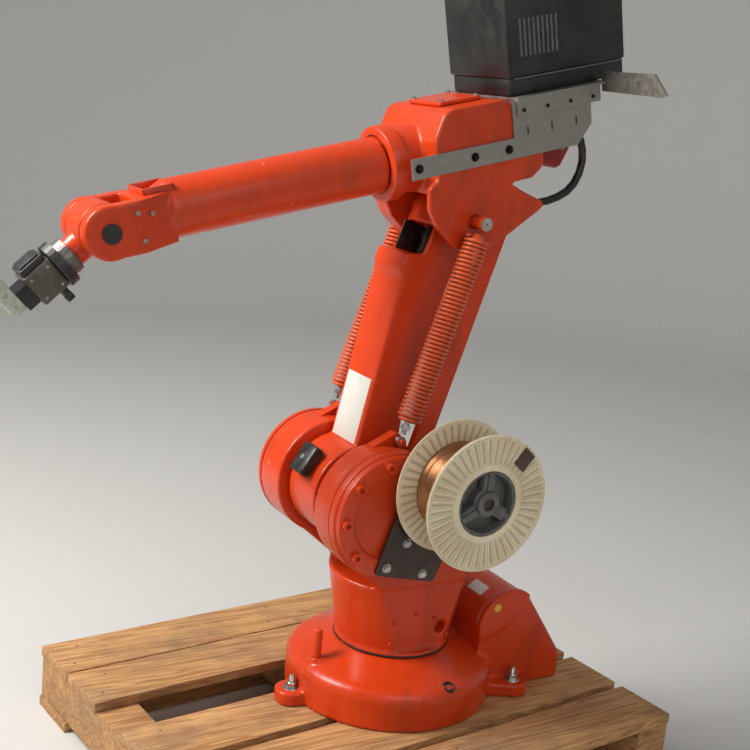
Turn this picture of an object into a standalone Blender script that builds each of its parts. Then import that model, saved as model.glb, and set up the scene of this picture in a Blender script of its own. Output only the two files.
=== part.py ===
"""Six-axis welding robot arm bolted to a wooden pallet, one object for each sub-part.

Metres, +Z up. The origin is under the first axis, where the pallet meets the floor.
+X points forward, to the wrist; +Y is the robot's left. The arm is modelled in nested
frames, one for each axis, so that every moving piece has its origin on its own axis.
"""

from math import acos, atan2, cos, degrees, pi, radians, sin

import bmesh
import bpy
from mathutils import Matrix, Vector

for left_over in list(bpy.data.objects):
    bpy.data.objects.remove(left_over, do_unlink=True)

MM = 0.001

# Shared values
SEAT_GAP = 0.3 * MM          # between two pieces that touch
RUN_GAP = 6 * MM             # between two pieces that move past each other
OVERLAP = 2 * MM             # how far joined solids reach into each other
OVERRUN = 8 * MM             # how far a cutter reaches past a face
ROUND_STEPS = 40             # facets round a large turned piece
SMALL_STEPS = 20             # facets round a small one
SHARP_ANGLE = radians(32)    # edges above this stay sharp in the shading

# Pallet
PALLET_LENGTH = 1100 * MM
PALLET_REAR = -490 * MM      # rear end, along the boards
PALLET_FAR = -482 * MM       # far edge, across the boards
PALLET_TURN = radians(5.9)   # the robot stands a little askew on its pallet
BOARD_WIDTH = 145 * MM
BOARD_THICK = 22 * MM
BOARD_GAPS = (3 * MM, 121 * MM, 22 * MM, 19 * MM)
STRINGER_WIDTH = 95 * MM
STRINGER_HEIGHT = 100 * MM
STRINGER_INSET = 4 * MM      # stringers sit this far in from the board ends
PALLET_HEIGHT = BOARD_THICK + STRINGER_HEIGHT + BOARD_THICK
PALLET_WIDTH = (len(BOARD_GAPS) + 1) * BOARD_WIDTH + sum(BOARD_GAPS)

# Base casting
BASE_RADIUS = 227 * MM
RIM_HEIGHT = 60 * MM
SHOULDER_HEIGHT = 82 * MM
SHOULDER_ROUND = 26 * MM     # the shoulder of the cone is cast round
SHOULDER_STEPS = 4
SWIVEL_RADIUS = 127 * MM     # bearing ring under the turret
SWIVEL_HEIGHT = 118 * MM
LUG_CIRCLE = 282 * MM        # the three foot lugs lie on this radius
LUG_ANGLES = (0, 151, -151)  # degrees from +X
LUG_RADIUS = 36 * MM
LUG_HEIGHT = 30 * MM
LUG_BORE = 11 * MM
TAIL_HALF_WIDTH = 118 * MM
TAIL_DRUM_X = -236 * MM      # round hump over the base drive
TAIL_DRUM_Z = 154 * MM
TAIL_DRUM_RADIUS = 78 * MM
TAIL_REAR = -394 * MM
TAIL_REAR_HEIGHT = 62 * MM
DRUM_RIM = 4 * MM            # raised ring at each end of the hump
DRUM_RIM_WIDTH = 14 * MM
PEG_INSET = 34 * MM          # first-axis stop peg, in from the rim of the cone
PEG_ANGLE = radians(5.4)
PEG_RADIUS = 8 * MM
PEG_HEIGHT = 62 * MM
PEG_FOOT_DROP = 16 * MM      # its boss stops this far below the swivel
PEG_SOCKET = 14 * MM         # depth of the peg's hole, and its boss height
CABLE_BOX_LENGTH = 70 * MM
CABLE_BOX_WIDTH = 96 * MM
CABLE_BOX_HEIGHT = 60 * MM
CABLE_BOX_Y = -40 * MM
CABLE_BOX_ROUND = 6 * MM

# Turret casting
TURRET_RING_HEIGHT = 10 * MM
TURRET_NECK_RADIUS = 124 * MM
TURRET_TOP_RADIUS = 152 * MM # the neck widens to this, between two flat sides
TURRET_HALF_WIDTH = 110 * MM
TURRET_FLARE_HEIGHT = 280 * MM
TURRET_DECK_HEIGHT = 300 * MM
EAR_REACH = 106 * MM         # front and back of the ears where they leave the neck
AXIS_2_X = 150 * MM
AXIS_2_Z = 474 * MM
FAR_EAR_INNER = 62 * MM      # the slot between the ears holds the arm and the crank
NEAR_EAR_INNER = 94 * MM
EAR_OUTER = 112 * MM
DRUM_RADIUS = 126 * MM
DRUM_OUTER = 150 * MM
NEAR_COVER_RADIUS = 129 * MM
NEAR_COVER_DEPTH = 46 * MM
NEAR_COVER_DISH = 6 * MM
NEAR_COVER_DISH_RADIUS = 84 * MM
FAR_COVER_DEPTH = 15 * MM
FAR_COVER_DISH_RADIUS = 90 * MM
COVER_CHAMFER = 6 * MM
WINDOW_RADIUS = 14 * MM      # round hole low on each side of the neck
WINDOW_X = -54 * MM
WINDOW_Z = 172 * MM
WINDOW_DEPTH = 30 * MM

# Wire spool and its bracket
SPOOL_X = 31 * MM
SPOOL_Z = 539 * MM
SPOOL_RADIUS = 137 * MM
SPOOL_WIDTH = 112 * MM
SPOOL_FLANGE = 4 * MM
SPOOL_CORE = 72 * MM
SPOOL_BORE = 66 * MM
WINDING_RADIUS = 96 * MM
SPINDLE_RADIUS = 12 * MM
SPINDLE_COLLAR = 26 * MM
BRACKET_THICK = 5 * MM
SPOOL_INNER_Y = 221 * MM
HUB_RECESS = 26 * MM
BRACKET_FRONT = 36 * MM      # the sheet starts this far ahead of the second axis
BRACKET_DROP = 146 * MM      # and this far below it
BRACKET_REAR = 52 * MM       # and ends this far behind the spindle
BRACKET_RISE = 44 * MM       # and above it
BRACKET_SHARES = (           # along the length, up the height, rounding of the height
    (1, 0.125, 0.03), (0.324, 0, 0.03), (0, 0.592, 0.08), (0.058, 0.984, 0.12),
    (0.444, 1, 0.12), (0.807, 0.612, 0.08))

# Lower arm
LOWER_ARM_LENGTH = 600 * MM
LOWER_ARM_LEAN = radians(-17)  # rest angle of the second axis from vertical
ARM_HALF_WIDTH = 56 * MM
ARM_HUB_RADIUS = 105 * MM
ARM_HEAD_RADIUS = 50 * MM
ARM_FRONT = 92 * MM          # the cross bar near the head
ARM_REAR = -72 * MM
ARM_SHARES = (               # along the depth, along the length, rounding of the depth
    (0, 0.05, 0), (0.62, -0.017, 0), (0.72, 0.15, 0.18), (0.94, 0.735, 0.05),
    (1, 0.775, 0.025), (1, 0.825, 0.025), (0.76, 0.845, 0.06), (0.73, 1, 0),
    (0.15, 1, 0), (0.256, 0.783, 0.24), (0.232, 0.317, 0.36))
ARM_SOFTEN = 5 * MM
POCKET_WALL = 9 * MM         # sides of the pocket cast into the front, above the cross bar
POCKET_SHARES = (0.835, 0.945)
POCKET_BACK = 6 * MM
BUFFER_HEIGHT = 66 * MM
BUFFER_WIDTH = 52 * MM
BUFFER_DEPTH = 26 * MM
BUFFER_ROUND = 8 * MM
AXLE_RADIUS = 12 * MM        # third-axis pin, which also carries the springs
AXLE_END = 150 * MM
AXLE_HEAD_RADIUS = 15 * MM
AXLE_HEAD = 9 * MM

# Balancing springs
SPRING_Y = 138 * MM
SPRING_RADIUS = 26 * MM
SPRING_WIRE = 15 * MM        # pitch of the closely wound coils
SPRING_GROOVE = 3 * MM
SPRING_FOOT_X = 8 * MM       # anchor eye, in the lower arm's frame at rest
SPRING_FOOT_Z = 141 * MM
SPRING_SHANK = 8 * MM
SPRING_NECK = 6 * MM         # plain shank above the coils
SPRING_HOOK = 40 * MM        # and the hook below them
SPRING_STEPS = 12
ANCHOR_THICK = 14 * MM
ANCHOR_PIN_RADIUS = 6 * MM

# Parallel linkage
CRANK_BACK = 114 * MM        # crank pin behind and above the axis, in the upper arm's frame
CRANK_RISE = 19 * MM
ROD_THICK = 16 * MM
ROD_WIDTH = 40 * MM
ROD_EYE_RADIUS = 27 * MM
ROD_BORE = 13.5 * MM
ROD_SIDE_GAP = 5.5 * MM      # between the rod and the arm
LINK_PIN_RADIUS = 12 * MM
LEVER_BOSS_RADIUS = 20 * MM
CRANK_HUB_RADIUS = 58 * MM

# Upper arm housing
UPPER_ARM_PITCH = radians(13.24)  # rest angle of the forearm below level
AXIS_4_RISE = 130 * MM
HOUSING_HALF_WIDTH = 110 * MM
HOUSING_FRONT = 76 * MM
HOUSING_REAR = -178 * MM
HOUSING_BOTTOM = 60 * MM
HOUSING_TOP = 226 * MM
HOUSING_ROUND = 34 * MM
HOUSING_ROUND_START = 156 * MM   # the sides are rounded over above this height
HOUSING_SHARES = (           # along the length, up the height, rounding of the height
    (1, 0, 0.06), (1, 0.68, 0.21), (0.88, 1, 0.21), (0.3, 1, 0.36), (0, 0.6, 0.3),
    (0, 0.12, 0.12), (0.12, 0, 0.12))
EAR_STEP = 1 * MM            # the ears' faces lie this far inside the housing's sides
EAR_FRONT = 102 * MM
EAR_BOTTOM = -62 * MM
EAR_TOP = 104 * MM
LEVER_REAR = -170 * MM
NEAR_EAR_SHARES = (          # from the lever's tip to the front, and up; rounding of the height
    (0.522, 0, 0.12), (0.809, 0.084, 0.085), (0.956, 0.41, 0.085), (1, 0.639, 0.085),
    (0.985, 0.88, 0.08), (0.868, 1, 0), (0.349, 0.795, 0), (0.114, 0.536, 0.07),
    (0, 0.422, 0.04), (0.007, 0.337, 0.05), (0.412, 0.06, 0.12))
FAR_EAR_SHARES = (
    (0.515, 0, 0.12), (0.809, 0.084, 0.085), (0.956, 0.41, 0.085), (1, 0.639, 0.085),
    (0.985, 0.88, 0.08), (0.868, 1, 0), (0.257, 0.795, 0), (0.316, 0.253, 0.12))
BARREL_RADIUS = 67 * MM      # round neck of the housing behind the collar
COLLAR_RADIUS = 75 * MM
COLLAR_LENGTH = 30 * MM
COLLAR_END = 150 * MM
COLLAR_CHAMFER = 5 * MM
TOP_COVER_FRONT = 26 * MM
TOP_COVER_REAR = -72 * MM
TOP_COVER_HALF = 58 * MM
TOP_COVER_HEIGHT = 9 * MM
TOP_COVER_ROUND = 3 * MM
MOTOR_REAR = -284 * MM
MOTOR_HALF_WIDTH = 74 * MM
MOTOR_BOTTOM = 56 * MM
MOTOR_TOP = 166 * MM
MOTOR_ROUND = 8 * MM
MOTOR_SHARES = (             # from the housing back, up the height, rounding of the height
    (0, 0.25, 0), (0, 1, 0), (1, 1, 0.2), (0.92, 0.36, 0.15), (0.62, 0, 0.15))

# Wire feeder and its bracket
SHEET_THICK = 5 * MM
STRAP_BOTTOM = 108 * MM
STRAP_HEIGHT = 40 * MM
STRAP_FRONT = 136 * MM
PLATE_FRONT = -104 * MM
PLATE_REAR = -300 * MM
PLATE_TOP = 220 * MM
PLATE_CHAMFER = 38 * MM
TRAY_FRONT = -114 * MM
TRAY_REAR = -340 * MM
TRAY_LIP = 32 * MM
TRAY_LIP_REAR = -322 * MM
TRAY_HALF_WIDTH = 122 * MM
WING_INNER = 110 * MM        # hose guide across the rear of the tray, on the near side
WING_OUTER = 299 * MM
WING_RISE = 19 * MM          # above the tray's floor
WING_DROP = 20 * MM
WING_SHARES = ((0, 0.1), (0, 1), (0.83, 1), (1, 0.1), (0.92, 0))
FEEDER_FRONT = -108 * MM
FEEDER_LENGTH = 296 * MM
FEEDER_HALF_WIDTH = 104 * MM
FEEDER_HEIGHT = 256 * MM
FEEDER_ROUND = 6 * MM

# Forearm and wrist
TUBE_START_RADIUS = 56 * MM
TUBE_END_RADIUS = 55 * MM
WRIST_REACH = 720 * MM
WRIST_DROP = 8 * MM          # the fifth axis lies this far below the fourth
FORK_LENGTH = 130 * MM       # the tube widens into the fork over this length
FORK_SLOPE = 70 * MM
WRIST_RADIUS = 49 * MM
WRIST_GAP = 2.5 * MM         # between the cheeks and the drum that turns in them
CHEEK_OUTER = 72 * MM
CHEEK_INNER = 42 * MM
CHEEK_CHAMFER = 3 * MM
FORK_THROAT = 60 * MM
CAP_RADIUS = 18 * MM
CAP_DEPTH = 4 * MM
WRIST_BEND = radians(30)     # rest angle of the fifth axis below the forearm
NECK_START_RADIUS = 31 * MM
NECK_END_RADIUS = 28 * MM
NECK_END = 66 * MM
FLANGE_REACH = 85 * MM
FLANGE_RADIUS = 34 * MM

# Tool on the flange
ADAPTER_RADIUS = 44 * MM
ADAPTER_THICK = 18 * MM
ADAPTER_CHAMFER = 2 * MM
SENSOR_LENGTH = 58 * MM
SENSOR_HALF = 31 * MM
SENSOR_ROUND = 4 * MM
LATCH_HEIGHT = 16 * MM       # the latch lies on top of the sensor
LATCH_INSET = 4 * MM
END_PLATE_LENGTH = 24 * MM
END_PLATE_HALF = 20 * MM
HOLDER_THICK = 28 * MM
HOLDER_HALF = 25 * MM
HOLDER_DROP = 14 * MM
HOLDER_LENGTH = 110 * MM     # the pale bar that the torch is clamped to


def material(name, colour, roughness, metallic=0):
    """A plain Principled finish for one sub-part."""
    finish = bpy.data.materials.new(name)
    finish.use_nodes = True
    shader = finish.node_tree.nodes["Principled BSDF"]
    shader.inputs["Base Color"].default_value = (*colour, 1)
    shader.inputs["Roughness"].default_value = roughness
    shader.inputs["Metallic"].default_value = metallic
    return finish


ORANGE = (0.72, 0.09, 0.02)
PINE = (0.62, 0.42, 0.22)
BLACK = (0.02, 0.02, 0.02)
ZINC = (0.5, 0.52, 0.48)
STEEL = (0.55, 0.56, 0.57)
CREAM = (0.78, 0.72, 0.54)
COPPER = (0.6, 0.27, 0.12)
GREY = (0.3, 0.32, 0.32)


def frame(name, at=(0, 0, 0), parent=None, tilt=0, turn=0):
    """An empty that carries a group of pieces: tilt turns it about Y, turn about Z."""
    empty = bpy.data.objects.new(name, None)
    bpy.context.scene.collection.objects.link(empty)
    empty.location = at
    empty.rotation_euler = (0, tilt, turn)
    empty.parent = parent
    return empty


def place(name, solid, finish, parent):
    """Turn a bmesh into an object under its frame, shaded smooth with sharp edges."""
    bmesh.ops.recalc_face_normals(solid, faces=solid.faces)
    mesh = bpy.data.meshes.new(name)
    solid.to_mesh(mesh)
    solid.free()
    mesh.shade_smooth()
    mesh.set_sharp_from_angle(angle=SHARP_ANGLE)
    if finish:
        mesh.materials.append(finish)
    piece = bpy.data.objects.new(name, mesh)
    bpy.context.scene.collection.objects.link(piece)
    piece.parent = parent
    return piece


def build(name, colour, roughness, parent, solids, holes=(), metallic=0):
    """One closed piece: the first solid, joined with the rest, less the holes."""
    finish = material(name, colour, roughness, metallic)
    piece = place(name, solids[0], finish, parent)
    steps = [("UNION", solid) for solid in solids[1:]]
    steps += [("DIFFERENCE", solid) for solid in holes]
    for number, (operation, solid) in enumerate(steps, 1):
        helper = place(f"{name}_{operation.lower()}_{number}", solid, None, parent)
        helper.hide_render = True
        helper.display_type = "WIRE"
        boolean = piece.modifiers.new(operation.title(), "BOOLEAN")
        boolean.operation = operation
        boolean.solver = "EXACT"
        boolean.object = helper
    return piece


def arc(centre, radius, start, end, steps=16):
    """Points along an arc, from start to end in degrees."""
    turns = [radians(start + (end - start) * step / steps) for step in range(steps + 1)]
    return [(centre[0] + radius * cos(turn), centre[1] + radius * sin(turn)) for turn in turns]


def filleted(corners, steps=5):
    """Round each corner (x, z, radius) of an outline; a radius of 0 keeps it sharp."""
    outline = []
    count = len(corners)
    for index, (x, z, radius) in enumerate(corners):
        here = Vector((x, z))
        if radius == 0:
            outline.append((x, z))
            continue
        back = (Vector(corners[index - 1][:2]) - here).normalized()
        ahead = (Vector(corners[(index + 1) % count][:2]) - here).normalized()
        half_angle = back.angle(ahead) / 2
        centre = here + (back + ahead).normalized() * radius / sin(half_angle)
        first = here + back * radius * cos(half_angle) / sin(half_angle)
        last = here + ahead * radius * cos(half_angle) / sin(half_angle)
        begin = atan2(first.y - centre.y, first.x - centre.x)
        finish = atan2(last.y - centre.y, last.x - centre.x)
        sweep = (finish - begin + pi) % (2 * pi) - pi
        outline += arc(centre, radius, degrees(begin), degrees(begin + sweep), steps)
    return outline


def shaped(shares, low, high, rounding):
    """An outline drawn as shares of a box, each corner rounded by its own share."""
    return filleted([(low[0] + (high[0] - low[0]) * along, low[1] + (high[1] - low[1]) * up,
                      rounding * share) for along, up, share in shares])


def prism(outline, low, high, soften=0, segments=2, above=None):
    """Extrude an outline in X and Z along Y; soften rounds its end edges, above a height."""
    solid = bmesh.new()
    face = solid.faces.new([solid.verts.new((x, low, z)) for x, z in outline])
    moved = bmesh.ops.extrude_face_region(solid, geom=[face])
    far_side = [item for item in moved["geom"] if isinstance(item, bmesh.types.BMVert)]
    bmesh.ops.translate(solid, verts=far_side, vec=(0, high - low, 0))
    if soften:
        ends = [edge for edge in solid.edges if edge.verts[0].co.y == edge.verts[1].co.y
                and (above is None or min(vert.co.z for vert in edge.verts) > above)]
        bmesh.ops.bevel(solid, geom=ends, offset=soften, segments=segments, profile=0.5,
                        affect="EDGES", clamp_overlap=True)
    return solid


def slab(outline, low, high):
    """Extrude an outline in X and Y upwards."""
    solid = prism(outline, low, high)
    swap = Matrix(((1, 0, 0, 0), (0, 0, 1, 0), (0, 1, 0, 0), (0, 0, 0, 1)))
    bmesh.ops.transform(solid, matrix=swap, verts=solid.verts)
    return solid


def block(low, high, soften=0, segments=2):
    """A box between two corners; soften rounds all its edges."""
    solid = bmesh.new()
    bmesh.ops.create_cube(solid, size=1)
    size = Vector(high) - Vector(low)
    middle = (Vector(high) + Vector(low)) / 2
    bmesh.ops.transform(solid, matrix=Matrix.Translation(middle) @ Matrix.Diagonal((*size, 1)),
                        verts=solid.verts)
    if soften:
        bmesh.ops.bevel(solid, geom=solid.edges[:], offset=soften, segments=segments,
                        profile=0.5, affect="EDGES", clamp_overlap=True)
    return solid


ALONG = {
    "x": Matrix.Rotation(pi / 2, 4, "Y"),
    "y": Matrix.Rotation(-pi / 2, 4, "X"),
    "-y": Matrix.Rotation(pi / 2, 4, "X"),
    "z": Matrix.Identity(4),
}


def turned(profile, at=(0, 0, 0), axis="z", steps=ROUND_STEPS):
    """Turn a profile of (radius, height) round an axis that starts at a point."""
    solid = bmesh.new()
    rings = []
    for radius, height in profile:
        if radius == 0:
            rings.append([solid.verts.new((0, 0, height))])
            continue
        turns = [2 * pi * step / steps for step in range(steps)]
        rings.append([solid.verts.new((radius * cos(turn), radius * sin(turn), height))
                      for turn in turns])
    closed = profile[0][0] > 0
    pairs = list(zip(rings, rings[1:] + rings[:1])) if closed else list(zip(rings, rings[1:]))
    for lower, upper in pairs:
        for step in range(steps):
            after = (step + 1) % steps
            corners = [lower[step % len(lower)], lower[after % len(lower)],
                       upper[after % len(upper)], upper[step % len(upper)]]
            solid.faces.new(list(dict.fromkeys(corners)))
    bmesh.ops.transform(solid, matrix=Matrix.Translation(at) @ ALONG[axis], verts=solid.verts)
    return solid


def rod(radius, at, length, axis="z", steps=SMALL_STEPS, chamfer=0):
    """A plain round bar, with an optional chamfer at its far end."""
    profile = [(0, 0), (radius, 0)]
    if chamfer:
        profile += [(radius, length - chamfer), (radius - chamfer, length), (0, length)]
    else:
        profile += [(radius, length), (0, length)]
    return turned(profile, at, axis, steps)


def ring(inner, outer, at, length, axis="z", steps=ROUND_STEPS):
    """A plain round ring."""
    profile = [(inner, 0), (outer, 0), (outer, length), (inner, length)]
    return turned(profile, at, axis, steps)


def flare(bottom_radius, top_radius, half_width, low, high):
    """A round neck that widens upwards between two flat sides."""
    solid = turned([(0, low), (bottom_radius, low), (top_radius, high), (0, high)], steps=48)
    for side in (-1, 1):
        cut = bmesh.ops.bisect_plane(solid, geom=solid.verts[:] + solid.edges[:] + solid.faces[:],
                                     plane_co=(0, side * half_width, 0), plane_no=(0, side, 0),
                                     clear_outer=True)
        rim = [item for item in cut["geom_cut"] if isinstance(item, bmesh.types.BMEdge)]
        bmesh.ops.contextual_create(solid, geom=rim)
    return solid


# The pallet, whose boards run along the robot
pallet = frame("pallet", turn=PALLET_TURN)


def pallet_boards():
    """Five deck boards on three cross stringers, over three floor runners."""
    deck_bottom = PALLET_HEIGHT - BOARD_THICK
    edge = PALLET_FAR
    for number, gap in enumerate((*BOARD_GAPS, 0), 1):
        board = block((PALLET_REAR, edge, deck_bottom),
                      (PALLET_REAR + PALLET_LENGTH, edge + BOARD_WIDTH, PALLET_HEIGHT))
        build(f"pallet_deck_board_{number}", PINE, 0.75, pallet, [board])
        edge += BOARD_WIDTH + gap


def pallet_underframe():
    """Cross stringers and floor runners, which leave the fork pockets open."""
    span = PALLET_LENGTH - 2 * STRINGER_INSET - STRINGER_WIDTH
    for number, share in enumerate((0, 1 / 2, 1), 1):
        start = PALLET_REAR + STRINGER_INSET + span * share
        stringer = block((start, PALLET_FAR, BOARD_THICK + SEAT_GAP),
                         (start + STRINGER_WIDTH, PALLET_FAR + PALLET_WIDTH,
                          BOARD_THICK + STRINGER_HEIGHT - SEAT_GAP))
        build(f"pallet_stringer_{number}", PINE, 0.8, pallet, [stringer])
    for number, share in enumerate((0, 1 / 2, 1), 1):
        start = PALLET_FAR + (PALLET_WIDTH - BOARD_WIDTH) * share
        runner = block((PALLET_REAR, start, 0),
                       (PALLET_REAR + PALLET_LENGTH, start + BOARD_WIDTH, BOARD_THICK))
        build(f"pallet_runner_{number}", PINE, 0.85, pallet, [runner])


pallet_boards()
pallet_underframe()

# The fixed base, standing on the deck
base = frame("base", at=(0, 0, PALLET_HEIGHT + SEAT_GAP))
PEG_X = (BASE_RADIUS - PEG_INSET) * cos(PEG_ANGLE)
PEG_Y = (BASE_RADIUS - PEG_INSET) * sin(PEG_ANGLE)
PEG_FOOT_Z = SWIVEL_HEIGHT - PEG_FOOT_DROP


def base_casting():
    """A low cone with three foot lugs and a tail whose round hump holds the base drive."""
    cone = turned(filleted([(0, 0, 0), (BASE_RADIUS, 0, 0),
                            (BASE_RADIUS, SHOULDER_HEIGHT, SHOULDER_ROUND),
                            (SWIVEL_RADIUS, SWIVEL_HEIGHT, 0), (0, SWIVEL_HEIGHT, 0)],
                           SHOULDER_STEPS), steps=56)
    hump = arc((TAIL_DRUM_X, TAIL_DRUM_Z), TAIL_DRUM_RADIUS, 0, 128, 16)
    tail_outline = [(TAIL_DRUM_X + TAIL_DRUM_RADIUS, 0), *hump,
                    (TAIL_REAR, TAIL_REAR_HEIGHT), (TAIL_REAR, 0)]
    tail = prism(tail_outline, -TAIL_HALF_WIDTH, TAIL_HALF_WIDTH)
    solids = [cone, tail]
    for side in (-1, 1):
        rim_y = side * (TAIL_HALF_WIDTH - DRUM_RIM_WIDTH)
        rim = arc((TAIL_DRUM_X, TAIL_DRUM_Z), TAIL_DRUM_RADIUS + DRUM_RIM, -20, 128, 16)
        low, high = sorted((rim_y, side * (TAIL_HALF_WIDTH + DRUM_RIM)))
        solids.append(prism([(TAIL_DRUM_X, TAIL_DRUM_Z), *rim], low, high))
    holes = []
    for angle in LUG_ANGLES:
        turn = radians(angle)
        x, y = LUG_CIRCLE * cos(turn), LUG_CIRCLE * sin(turn)
        if angle == 0:
            x, y = BASE_RADIUS + LUG_BORE, 0
        inward = Vector((cos(turn), sin(turn))) * -BASE_RADIUS / 2
        sideways = Vector((-sin(turn), cos(turn))) * LUG_RADIUS
        outline = arc((x, y), LUG_RADIUS, angle - 90, angle + 90, 12)
        outline += [tuple(Vector((x, y)) + inward + sideways),
                    tuple(Vector((x, y)) + inward - sideways)]
        solids.append(slab(outline, 0, LUG_HEIGHT))
        holes.append(rod(LUG_BORE, (x, y, -OVERRUN), LUG_HEIGHT + 2 * OVERRUN, steps=12))
    solids.append(rod(2 * PEG_RADIUS, (PEG_X, PEG_Y, RIM_HEIGHT / 2),
                      PEG_FOOT_Z - RIM_HEIGHT / 2, steps=SMALL_STEPS))
    holes.append(rod(PEG_RADIUS + SEAT_GAP, (PEG_X, PEG_Y, PEG_FOOT_Z - PEG_SOCKET),
                     PEG_SOCKET + OVERRUN, steps=12))
    build("base_casting", ORANGE, 0.3, base, solids, holes)


def base_fittings():
    """The stop peg on the cone and the closed cable entry box behind the tail."""
    peg = rod(PEG_RADIUS, (PEG_X, PEG_Y, PEG_FOOT_Z - PEG_SOCKET + SEAT_GAP),
              PEG_HEIGHT + PEG_SOCKET, steps=12, chamfer=PEG_RADIUS / 4)
    build("base_stop_peg", ORANGE, 0.4, base, [peg])
    rear = TAIL_REAR - SEAT_GAP
    entry = block((rear - CABLE_BOX_LENGTH / 2, CABLE_BOX_Y - CABLE_BOX_WIDTH / 2, 0),
                  (rear, CABLE_BOX_Y + CABLE_BOX_WIDTH / 2, CABLE_BOX_HEIGHT),
                  soften=CABLE_BOX_ROUND)
    build("cable_entry_box", GREY, 0.5, base, [entry])


base_casting()
base_fittings()

# The turret turns about the first axis
turret = frame("turret", parent=base)


def ear_outline():
    """Side view of one ear below its round drum."""
    inside = DRUM_RADIUS - 2 * OVERLAP
    front_low, rear_high = [(AXIS_2_X + inside * cos(turn), AXIS_2_Z + inside * sin(turn))
                            for turn in (radians(-38), radians(128))]
    return [(-EAR_REACH, TURRET_FLARE_HEIGHT), (EAR_REACH, TURRET_FLARE_HEIGHT), front_low,
            (AXIS_2_X, AXIS_2_Z + DRUM_RADIUS / 2), rear_high, (-EAR_REACH, TURRET_DECK_HEIGHT)]


def turret_frame():
    """Bearing ring, flared neck and two ears that carry the second axis."""
    low = SWIVEL_HEIGHT + SEAT_GAP
    swivel = rod(SWIVEL_RADIUS, (0, 0, low), TURRET_RING_HEIGHT, steps=ROUND_STEPS)
    neck = flare(TURRET_NECK_RADIUS, TURRET_TOP_RADIUS, TURRET_HALF_WIDTH,
                 low + TURRET_RING_HEIGHT - OVERLAP, TURRET_FLARE_HEIGHT)
    deck = block((-EAR_REACH + OVERLAP, -FAR_EAR_INNER - OVERLAP,
                  TURRET_FLARE_HEIGHT - 2 * OVERLAP),
                 (EAR_REACH - OVERLAP, NEAR_EAR_INNER + OVERLAP, TURRET_DECK_HEIGHT))
    solids = [swivel, neck, deck]
    holes = []
    for side, slot_half in ((-1, FAR_EAR_INNER), (1, NEAR_EAR_INNER)):
        inner, outer = sorted((side * slot_half, side * EAR_OUTER))
        ear = prism([(x, z - OVERLAP) for x, z in ear_outline()], inner, outer)
        axis = "y" if side > 0 else "-y"
        drum_start = slot_half + OVERLAP
        drum = rod(DRUM_RADIUS, (AXIS_2_X, side * drum_start, AXIS_2_Z),
                   DRUM_OUTER - drum_start, axis, steps=48)
        solids += [ear, drum]
        holes.append(rod(WINDOW_RADIUS, (WINDOW_X, side * (TURRET_HALF_WIDTH + OVERRUN),
                                         WINDOW_Z), WINDOW_DEPTH + OVERRUN,
                         "-y" if side > 0 else "y", steps=16))
    build("turret_frame", ORANGE, 0.3, turret, solids, holes)


def gearbox_covers():
    """Round covers over the second-axis drive and its bearing."""
    near = turned([(0, 0), (NEAR_COVER_RADIUS, 0),
                   (NEAR_COVER_RADIUS, NEAR_COVER_DEPTH - COVER_CHAMFER),
                   (NEAR_COVER_RADIUS - COVER_CHAMFER, NEAR_COVER_DEPTH),
                   (NEAR_COVER_DISH_RADIUS, NEAR_COVER_DEPTH),
                   (NEAR_COVER_DISH_RADIUS - COVER_CHAMFER, NEAR_COVER_DEPTH - NEAR_COVER_DISH),
                   (0, NEAR_COVER_DEPTH - NEAR_COVER_DISH)],
                  (AXIS_2_X, DRUM_OUTER + SEAT_GAP, AXIS_2_Z), "y", steps=48)
    build("near_gearbox_cover", ORANGE, 0.3, turret, [near])
    far = turned([(0, 0), (DRUM_RADIUS, 0), (DRUM_RADIUS, FAR_COVER_DEPTH - COVER_CHAMFER),
                  (DRUM_RADIUS - COVER_CHAMFER, FAR_COVER_DEPTH),
                  (FAR_COVER_DISH_RADIUS, FAR_COVER_DEPTH),
                  (FAR_COVER_DISH_RADIUS - COVER_CHAMFER, FAR_COVER_DEPTH - COVER_CHAMFER),
                  (0, FAR_COVER_DEPTH - COVER_CHAMFER)],
                 (AXIS_2_X, -DRUM_OUTER - SEAT_GAP, AXIS_2_Z), "-y", steps=48)
    build("far_gearbox_cover", ORANGE, 0.3, turret, [far])


SPRING_FOOT = (AXIS_2_X + SPRING_FOOT_X * cos(LOWER_ARM_LEAN) + SPRING_FOOT_Z * sin(LOWER_ARM_LEAN),
               AXIS_2_Z - SPRING_FOOT_X * sin(LOWER_ARM_LEAN) + SPRING_FOOT_Z * cos(LOWER_ARM_LEAN))


def spring_anchors():
    """A lug on each drum, with the pin that the foot of a spring hooks on."""
    foot_x, foot_z = SPRING_FOOT
    for word, side in (("near", 1), ("far", -1)):
        seat_angle = degrees(atan2(foot_z - AXIS_2_Z, foot_x - AXIS_2_X))
        outline = arc((AXIS_2_X, AXIS_2_Z), DRUM_RADIUS + SEAT_GAP, seat_angle - 22,
                      seat_angle + 22, 10)
        outline += arc((foot_x, foot_z), 2 * ANCHOR_PIN_RADIUS, seat_angle + 60,
                       seat_angle - 60, 8)
        low, high = sorted((side * (NEAR_EAR_INNER + RUN_GAP),
                            side * (SPRING_Y - SPRING_SHANK - RUN_GAP)))
        lug = prism(outline, low, high)
        pin = rod(ANCHOR_PIN_RADIUS, (foot_x, side * (SPRING_Y - 2 * ANCHOR_THICK), foot_z),
                  3 * ANCHOR_THICK, "y" if side > 0 else "-y", steps=16)
        build(f"{word}_spring_anchor", ORANGE, 0.35, turret, [lug, pin])


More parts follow.
